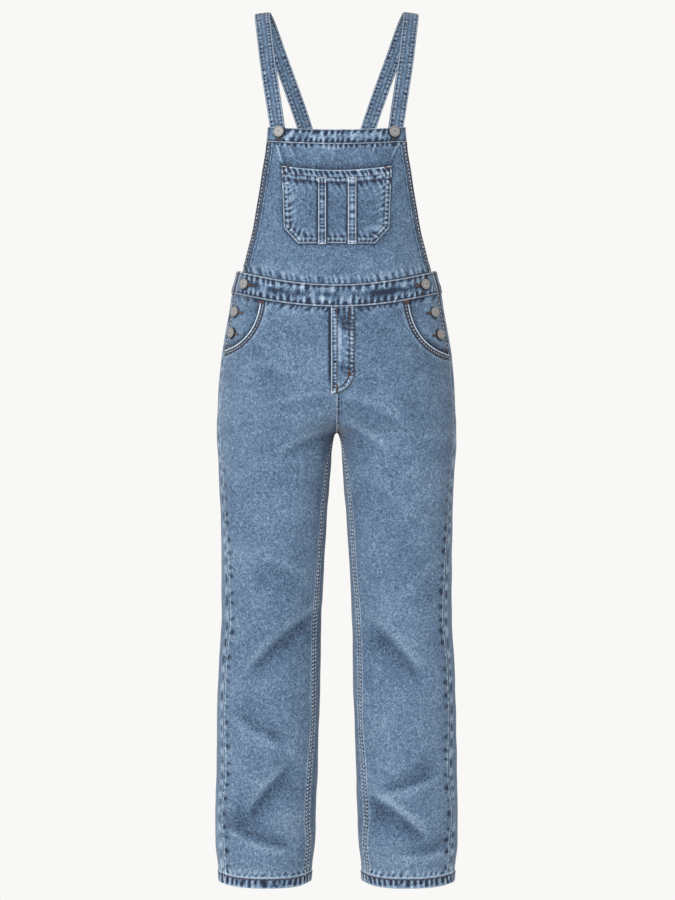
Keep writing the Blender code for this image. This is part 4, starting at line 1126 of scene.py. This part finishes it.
def legFront(node, side, seed):
    share = graded(250, 1.2, 6.0, near=14)[None, :]
    scoop = scoops[side]
    low = scoop[-1, 1]
    # the grid: 40 rows beside the scoop, 29 that level out, then level ones
    beside = np.stack([np.interp(np.linspace(0, 59, 40), np.arange(60), scoop[:, i]) for i in (0, 1)], axis=1)
    centreTop = float(waistFront(math.pi / 2, waist["height"])) - seamGap
    outerAngle = angleAt(beside[:, 0], beside[:, 1])
    outerAngle[-1] = sideSeam(beside[-1:, 1])[0] + 0.001
    topAngle = outerAngle[0] + (innerSeam(np.array([centreTop]))[0] - outerAngle[0]) * share
    seam = waistFront(topAngle, waist["height"]) - seamGap
    beside[0, 1] = seam[0, 0]
    z = beside[:, 1:] * (1 - share) + np.linspace(centreTop, leg["flyFoot"], 40)[:, None] * share
    z = z + (seam - z[0]) * np.linspace(1, 0, 40)[:, None] ** 2
    blend = np.linspace(0, 1, 30)[1:, None]
    outerZ, innerZ = (start + (leg["blendFoot"] - start) * blend for start in (low, leg["flyFoot"]))
    z = np.concatenate([z, outerZ * (1 - share) + innerZ * share, legRows(leg["blendFoot"] - 3, share)])
    outerAngle = np.concatenate([outerAngle, sideSeam(z[40:, 0]) + 0.001])
    places = legPlaces(side, outerAngle, innerSeam(z[:, -1]), z, share, seam)
    flat, run, fromIn = places["flat"], places["fromOut"], places["fromIn"]
    fromTop, depth = places["fromTop"], places["depth"]
    scoopAway = np.full(run.shape, 400.0)
    scoopAway[:90], _ = nearLine(flat[:90], front(side * scoop[:, 0], scoop[:, 1]))
    moved, wearAndShade = hemBars(z, run + side * 7, seed)
    nearHem = 1 - ease(leg["foot"] + 22, leg["foot"] + 50, z)
    z = z - leg["hemDip"] * nearHem * (1 - (2 * share - 1) ** 2)
    spot = seamSpots(run, depth, 22, 5.0, seed + 30) * (0.25 + 0.75 * ease(690, 880, depth))
    seamMarks = addMarks(0, 0, [
        (0.8 * spot, spot),
        pucker(run, depth, 11, 3.0, 6.0, 0.4, 0.3, 0.25, duty=0.4, seed=seed + 33),
        groove(run, 0.8, 0.5), (0, 0.8 * bell(run, 3.8, 1.1)),
    ])
    inseamPale = 0.75 * ease(720, 800, depth) - 0.5 * (1 - ease(700, 760, depth))
    inseamMarks = addMarks(0, 0, [
        pucker(fromIn, depth, 6.3, 1.6, 5.4, 0.55, 0.9, 0.3, seed=seed + 40, uneven=0.25),
        (0, -0.6 * bell(fromIn, 3.5, 1.9, 4) + 0.5 * bell(fromIn, 0.6, 0.8)
         + bell(fromIn, 7.4, 1.0) * inseamPale),
    ])
    belowScoop = ease(3 - low, 11 - low, depth)
    belowCrotch = ease(651, 655, depth) if side > 0 else ease(700, 716, depth)
    fromGap = np.maximum(np.abs(flat[..., 0]) - bodyAt(flat[..., 2])["inner"], 0)
    marks = [
        groove(scoopAway, 1.8, 0.7), groove(scoopAway, 8.0, 1.1, width=1.3),
        (0, 1.7 * bell(scoopAway, 0.6, 1.5) - 1.1 * bell(scoopAway, 3.4, 1.1)),
        (0, 0.45 * bell(scoopAway, 12.4, 1.8) - 0.5 * bell(scoopAway, 6.0, 1.6)),
        pucker(fromTop, run, 12, 1.2, 10, 1.0, 0.55, 0.15, duty=0.42, lean=0.5, uneven=0.6, seed=seed + 20),
        # a worn net below the waistband seam, and the hips painted darker towards it, evening out the key
        # light
        (0, 0.4 * crackle(run, fromTop, 13, 34, seed + 22) * bell(fromTop, 0, 20, 1)
         - 0.14 * bell(fromTop, 0, 90, 1)),
        [part * belowScoop for part in seamMarks], [part * belowCrotch for part in inseamMarks],
        # painted shade under the crotch, and on the wearer's right beside the fly's fold
        (0, -1.2 * bell(fromGap, 0, 2.6) * ease(640, 690, depth) * (1 - ease(760, 900, depth))),
        (0, -1.5 * bell(flat[..., 0], -11, 2.3) * (1 - ease(600, 655, depth)) * (side < 0)),
    ]
    panel = coverLeg(node, side, seed, z, places, moved, wearAndShade, marks, 0.16)
    seamTop = 214 if side > 0 else 240
    sew(node, gridLine(panel, "right", 3.5, seamTop, 18), **beads)
    sew(node, gridLine(panel, "foot", leg["hemHeight"] - 1.6, 1, 1), **hemThread)
    for distance, start, over, how in (
            (2.6, -500, 0.2, dict(thread="paleTan", pitch=2.9, radius=0.36)),
            (9.0, -500, 0.2, dict(thread="brown", pitch=2.9)),
            (5.9, -503, 0.1, dict(thread="ecru", pitch=5.8, length=3.0, radius=1.05))):
        ring = offsetLine(scoop, distance)
        ring = ring[ring[:, 1] < start]
        sew(node, frontLine(side * ring[:, 0], ring[:, 1], over), **how)
    tack = side * (scoop[0, 0] + np.array([-7.0, 0.5]))
    tacks = [frontLine(tack, [h, h + 0.6], 0.5, 1.0) for h in (-496.5, -498.5)]
    sew(node, *tacks, length=2.4, radius=0.4, **barTack)


def legBack(node, side, seed):
    share = graded(300, 1.2, 6.0, near=14)[None, :]
    first = float(sideSeam(np.array(-477.5))) - 0.001
    seam = waistBack(first + (-math.pi / 2 - first) * share, waist["height"]) - seamGap
    blend = np.linspace(0, 1, 36)[:, None]
    z = np.concatenate([seam * (1 - blend) - 600 * blend, legRows(-603, share)])
    places = legPlaces(side, sideSeam(z[:, 0]) - 0.001, innerSeamBack(z[:, -1]), z, share, seam)
    run, fromIn, fromTop, depth = (places[key] for key in ("fromOut", "fromIn", "fromTop", "depth"))
    moved, wearAndShade = hemBars(z, run + side * 11, seed)
    marks = [
        pucker(fromTop, run, 14, 1.2, 16, 1.2, 0.5, 0.4, duty=0.38, lean=0.5, seed=seed + 20),
        pucker(run, depth, 29, 3.0, 9.0, 0.9, 0.6, 0.4, duty=0.34, seed=seed + 30, uneven=0.6),
        (-0.3 * bell(run, 0, 0.9), 0.3 * bell(run, 0, 1.6)),
        # painted shade along the side opening's edge and in a line beside it, above the opening's foot
        (0, -0.9 * (bell(run, 14, 1.5) + bell(run, 0, 3.0)) * (1 - ease(574, 582, depth))),
        pucker(fromIn, depth, 6.3, 1.6, 5.4, 0.5, 0.9, 0.4, seed=seed + 40, uneven=0.25),
        (0, 0.5 * bell(fromIn, 7.4, 1.0)),
    ]
    panel = coverLeg(node, side, seed, z, places, moved, wearAndShade, marks, 0.13)
    sew(node, gridLine(panel, "foot", leg["hemHeight"] - 1.6, 1, 1), **hemThread)
    sew(node, gridLine(panel, "right", 3.6, 2, 18), **dict(beads, radius=0.9))


legFront("leg_front_left", 1, 101)
legFront("leg_front_right", -1, 201)
legBack("leg_back_left", 1, 301)
legBack("leg_back_right", -1, 401)
print("legs")

# pocket facings that show in the scoops
facing = dict(past=111.0, foot=-592.0, thick=1.2, lift=3.5)


def makeFacing(node, side, seed):
    scoop = scoops[side]
    middleZ = (waist["top"] - waist["height"] + facing["foot"]) / 2
    first = float(sideSeam(np.array(middleZ))) + 0.002
    last = float(angleAt(np.array(facing["past"]), np.array(middleZ)))
    share = np.linspace(0, 1, 72)[None, :]
    top = waistFront(first + (last - first) * share, waist["height"]) - seamGap
    down = np.linspace(0, 1, 76)[:, None]
    z = top * (1 - down) + facing["foot"] * down
    innerAngle = angleAt(np.full(len(z), facing["past"]), z[:, -1])
    angle = (sideSeam(z[:, 0]) + 0.002)[:, None] * (1 - share) + innerAngle[:, None] * share
    overScoop = z - np.interp(np.abs(skin(side, angle, z, 0.0)[..., 0]), scoop[:, 0], scoop[:, 1])
    level = (1 - ease(0.45, 0.72, share)) * ease(1.5, 9, overScoop)
    base = -cloth["facingDepth"] + facing["lift"] * level
    flat = skin(side, angle, z, base)
    x, depth, fromTop, fromOut = np.abs(flat[..., 0]), -z, np.abs(top - z), runLength(flat, 1)
    away, _ = nearLine(flat, front(side * scoop[:, 0], scoop[:, 1], -cloth["facingDepth"]))
    moved, wearAndShade = addMarks(0.6 * noise2(x / 18, depth / 22, seed) * (1 - level), 0, [
        # painted shadow cast by the leg front's scoop edge on the facing, and painted shade under the
        # waistband
        (0, -1.1 * bell(away, 0, 3.5) - 0.6 * bell(away, 0, 13, 1) - 0.5 * bell(fromTop, 0, 5, 1)),
        (0, 0.3 * bell(away, 16, 4) * ease(520, 560, depth)),
        (0, buttonShade(flat, ["button_hip_upper", "button_hip_lower"])),
        pucker(fromTop, x, 12, 1.0, 10, 0.8, 0.3, 0.15, duty=0.4, lean=0.4, uneven=0.6, seed=seed),
        rim(fromOut, 1.1, 1.8), (0, -0.8 * bell(fromOut, 6.5, 3.2, 4)),
    ])
    outer, inner = skin(side, angle, z, base + moved), skin(side, angle, z, base - facing["thick"])
    panel = cover(node, outer, inner, wearAndShade, "denim_faded", seed + 5)
    sew(node, gridLine(panel, "left", 3.0, 2, 4))
    sew(node, gridLine(panel, "left", 6.6, 3, 22), **dict(beads, pitch=6.8))
    if side < 0:
        arc = bezier(((-153, -487), (-150, -497), (-144, -500.5), (-132, -500.5)), 16)
        near = [np.hypot(outer[..., 0] - p[0], outer[..., 2] - p[1]).argmin() for p in arc]
        line = [grid.reshape(-1, 3)[near] for grid in (outer, panel["normals"])]
        sew(node, line, thread="paleTan", radius=0.5)


makeFacing("hip_facing_left", 1, 501)
makeFacing("hip_facing_right", -1, 511)

# fly facing with its J-shaped outline
fly = dict(fold=-9.0, width=39.0, bend=-614.0, foot=-650.0, tip=6.0, out=1.5)


def makeFly():
    fold, out = fly["fold"], fly["out"]
    share = graded(fly["width"], 0.9, 2.2, near=10)[None, :]
    top = waist["top"] - waist["dip"] - waist["height"] - seamGap
    bend = np.linspace(0, math.pi / 2, 22)[1:]
    curved = fly["bend"] - (fly["bend"] - fly["foot"]) * np.sin(bend)
    narrowing = fly["tip"] + (fly["width"] - fly["tip"]) * np.cos(bend)
    z = np.concatenate([np.linspace(top, fly["bend"], 50), curved])
    width = np.concatenate([np.full(50, fly["width"]), narrowing])
    edgeLine = np.stack([fold + width, z], axis=1)
    x = fold + width[:, None] * share
    z = z[:, None] + 0 * x
    away, along = nearLine(front(x, z, out), front(edgeLine[:, 0], edgeLine[:, 1], out))
    fromFold, depth = x - fold, -z
    middleBar = bell(fromFold, 14.5, 3, 4) * ease(528, 540, depth) * (1 - ease(592, 604, depth))
    blot = bell(fromFold, 26, 12, 4) * (bell(depth, 529, 19, 4) + 0.7 * bell(depth, 608, 12))
    moved, wearAndShade = addMarks(0, -0.12, [
        pucker(fromFold, depth, 6.0, 3.2, 8.4, 0.5, 0.8, 0.5, duty=0.45, seed=601),
        groove(fromFold, 1.4, 0.6), groove(fromFold, 8.8, 0.4),
        (0, 1.1 * bell(fromFold, 0, 1.5)),
        pucker(away, along, 9.0, 6.0, 14, 0.9, 0.6, 0.35, duty=0.42, lean=0.3, seed=603),
        groove(away, 0.4, 0.7), groove(away, 8.0, 0.7),
        pucker(away, along, 6.0, 2.6, 6.8, 0.4, 0.5, 0.6, duty=0.45, seed=607),
        pucker(depth + top, x + 40, 9.0, 2, 16, 0.9, 0.9, 0.3, uneven=0.5, seed=605),
        (0, 0.5 * middleBar - 0.8 * blot + 0.4 * crackle(x + 40, depth, 9, 40, 609)),
    ])
    cover("fly", front(x, z, out + moved), front(x, z, 0.35), wearAndShade, "denim")
    lines = []
    for distance in (1.0, 8.4):
        ring = offsetLine(edgeLine, distance)[1:]
        lines.append(frontLine(*ring[ring[:, 0] > fold + 2].T, out - 0.1))
    sew("fly", *lines, pitch=2.9)
    besideFold = [frontLine([fold + d, fold + d], [top - 1, -640.0], out - 0.1) for d in (2.4, 9.0)]
    sew("fly", *besideFold, pitch=2.9)
    bars = [(-6.5, -635, 1.5, -635), (-6.5, -647, 1.5, -647), (1.5, -635, 1.5, -647),
            (-6.8, -641, -6.8, -648), (17.5, -621, 27.5, -613), (19.5, -611, 24.5, -621)]
    tacks = [frontLine([x0, x1], [z0, z1], out + 0.2, 1.0) for x0, z0, x1, z1 in bars]
    sew("fly", *tacks, length=1.9, radius=0.35, **barTack)


makeFly()
print("facings and fly")

# buttons, turned domed heads on shanks, and their buttonholes
# lightness of the metal per ring, shank first: the underside and shank painted dark as shade, darker at the
# rim's edge and in a ring of the dome
button = dict(sides=40, shank=3.6, top=4.92, metalLightness=(0, 0, 0, 0.1, 0.5, 0.95, 1, 0.8, 0.35, 0.75, 0.95, 0.9))


# directions all round, square to out
def spokes(out, across):
    across = unit(across - out * out.dot(across))
    turn = np.linspace(0, 2 * math.pi, button["sides"], endpoint=False)[:, None]
    return np.cos(turn) * across + np.sin(turn) * np.cross(out, across)


def makeButton(spec, word, side):
    r, sides, lies = spec["r"], button["sides"], spec["lies"] + seamGap
    profile = [(3.5, 3.0), (r - 1.0, 3.1), (r - 0.3, 3.4), (r, 3.9), (r - 0.15, 4.4), (r - 0.6, 4.75),
               (r - 1.2, 4.9), (r - 1.8, 4.75), (r - 2.3, 4.6), (r * 0.5, 4.8), (r * 0.25, 4.9)]
    x, z = spec[word]
    angle = angleAt(np.array(x), np.array(z))
    steps = [(0, 0), (0.02, 0), (0, 2)]
    seat, beside, below = (skin(side, angle + turn, z - down, lies) for turn, down in steps)
    out = np.cross(beside - seat, below - seat)
    out *= -np.sign(out[1]) / np.linalg.norm(out)
    points = [seat + button["shank"] * spoke for spoke in spokes(out, beside - seat)]
    out = unit(out + spec["faced"] * (np.array([0, -1, 0]) - out))
    ring = spokes(out, beside - seat)
    points += [seat + radius * spoke + height * out for radius, height in profile for spoke in ring]
    foot, top, last = len(points), len(points) + 1, len(points) - sides
    faces = []
    for i in range(sides):
        j = (i + 1) % sides
        faces += [(low + i, low + j, low + sides + j, low + sides + i) for low in range(0, last, sides)]
        faces += [(foot, j, i), (top, last + i, last + j)]
    points = np.array(points + [seat, seat + button["top"] * out])
    a, b, c = points[list(faces[0][:3])]
    if np.cross(b - a, c - a).dot(a - seat) < 0:
        faces = [face[::-1] for face in faces]
    metalLightness = np.append(np.repeat(button["metalLightness"], sides), [0, 0.05])
    made = addMesh("metal_" + spec["node"] + "_" + word, points, faces, "buttonMetal", {"metalLightness": metalLightness})
    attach(made, "root")
    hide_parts(spec["node"] + "_" + word)


# satin stitches on both sides of a slit: bib holes hang below the button, the others point to the middle
def makeHole(spec, word, side):
    x0, z0, x1, z1 = spec["hole"]
    x, z = spec[word]
    ends = np.array([[side * (x + x0), z + z0], [side * (x + x1), z + z1]], float)
    wide = np.array(spec["open"])[:, None] * np.array([1.0, 0] if x0 == 0 else [0, 1.0])
    bands = {"button_bib": "bib_band", "button_waist": "waistband_front"}
    panel = bands.get(spec["node"], "hip_facing_" + word)
    lines = [frontLine(*(ends + s * wide).T, spec["lies"] + 0.35, 1.0) for s in (-1, 1)]
    made = stitch(spec["node"].replace("button", "hole") + "_" + word, lines, "brown", pitch=0.62, length=1.7,
                  radius=0.4, turn=math.pi / 2, uneven=0.25, seed=9)
    sheets[panel]["stitches"].append(made)


for word, side in (("left", 1), ("right", -1)):
    for spec in buttons:
        makeButton(spec, word, side)
        makeHole(spec, word, side)
print("buttons")

# the width and length of every piece of cloth, in metres, worked out but not used
for node, panel in sheets.items():
    widest, longest = (runLength(panel["outer"], axis).max() / 1000 for axis in (1, 0))

# floor, world, light and camera
stage = dict(floorRadius=0.62, floorZ=-1.80, floor=(0.70, 0.69, 0.68, 1),
             away=3.6, metresPerPixel=0.0017, pixelsHigh=900)
floorMesh = bpy.data.meshes.new("floor")
floorRing = [(stage["floorRadius"] * math.cos(t), stage["floorRadius"] * math.sin(t), stage["floorZ"])
             for t in np.linspace(0, 2 * math.pi, 64, endpoint=False)]
floorMesh.from_pydata(floorRing, [], [tuple(range(64))])
floor = addObject("floor", floorMesh)
newMaterial("paleFloor", 0.9, Base_Color=stage["floor"])
floorMesh.materials.append(materials["paleFloor"])

world = bpy.data.worlds.new("studio")
world.use_nodes = True
sky = world.node_tree.nodes["Background"].inputs
sky["Color"].default_value = (*look["background"], 1)
sky["Strength"].default_value = 1.0
bpy.context.scene.world = world

lights = [
    dict(name="key", place=(-1.9, -3.3, 0.0), aim=(0, 0, -0.75), size=1.0, power=172),
    dict(name="fill", place=(2.2, -2.4, -0.4), aim=(0, 0, -0.8), size=2.0, power=26),
]
for spec in lights:
    data = bpy.data.lights.new(spec["name"], "AREA")
    data.size = spec["size"]
    data.energy = spec["power"]
    lamp = addObject(spec["name"], data)
    away = np.array(spec["place"]) - np.array(spec["aim"])
    lamp.location = spec["place"]
    tilt = math.atan2(math.hypot(away[0], away[1]), away[2])
    lamp.rotation_euler = (tilt, 0, math.atan2(away[0], -away[1]))

cameraData = bpy.data.cameras.new("camera")
cameraData.sensor_fit = "VERTICAL"
cameraData.sensor_height = 36
cameraData.lens = 36 * stage["away"] / (stage["pixelsHigh"] * stage["metresPerPixel"])
camera = addObject("camera", cameraData)
camera.location = (0.0014, -stage["away"], -0.7425)
camera.rotation_euler = (math.pi / 2, 0, 0)
bpy.context.scene.camera = camera
bpy.context.scene.view_settings.view_transform = "Standard"

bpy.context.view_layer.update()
meshes = [o for o in collection.objects if o.type == "MESH"]
triangles = {o.name: sum(len(p.vertices) - 2 for p in o.data.polygons) for o in meshes}
sewn = sum(count for name, count in triangles.items() if name.startswith(("stitch", "hole")))
print("triangles", sum(triangles.values()), "stitches", sewn)
print("largest", sorted(triangles.items(), key=lambda pair: -pair[1])[:6])
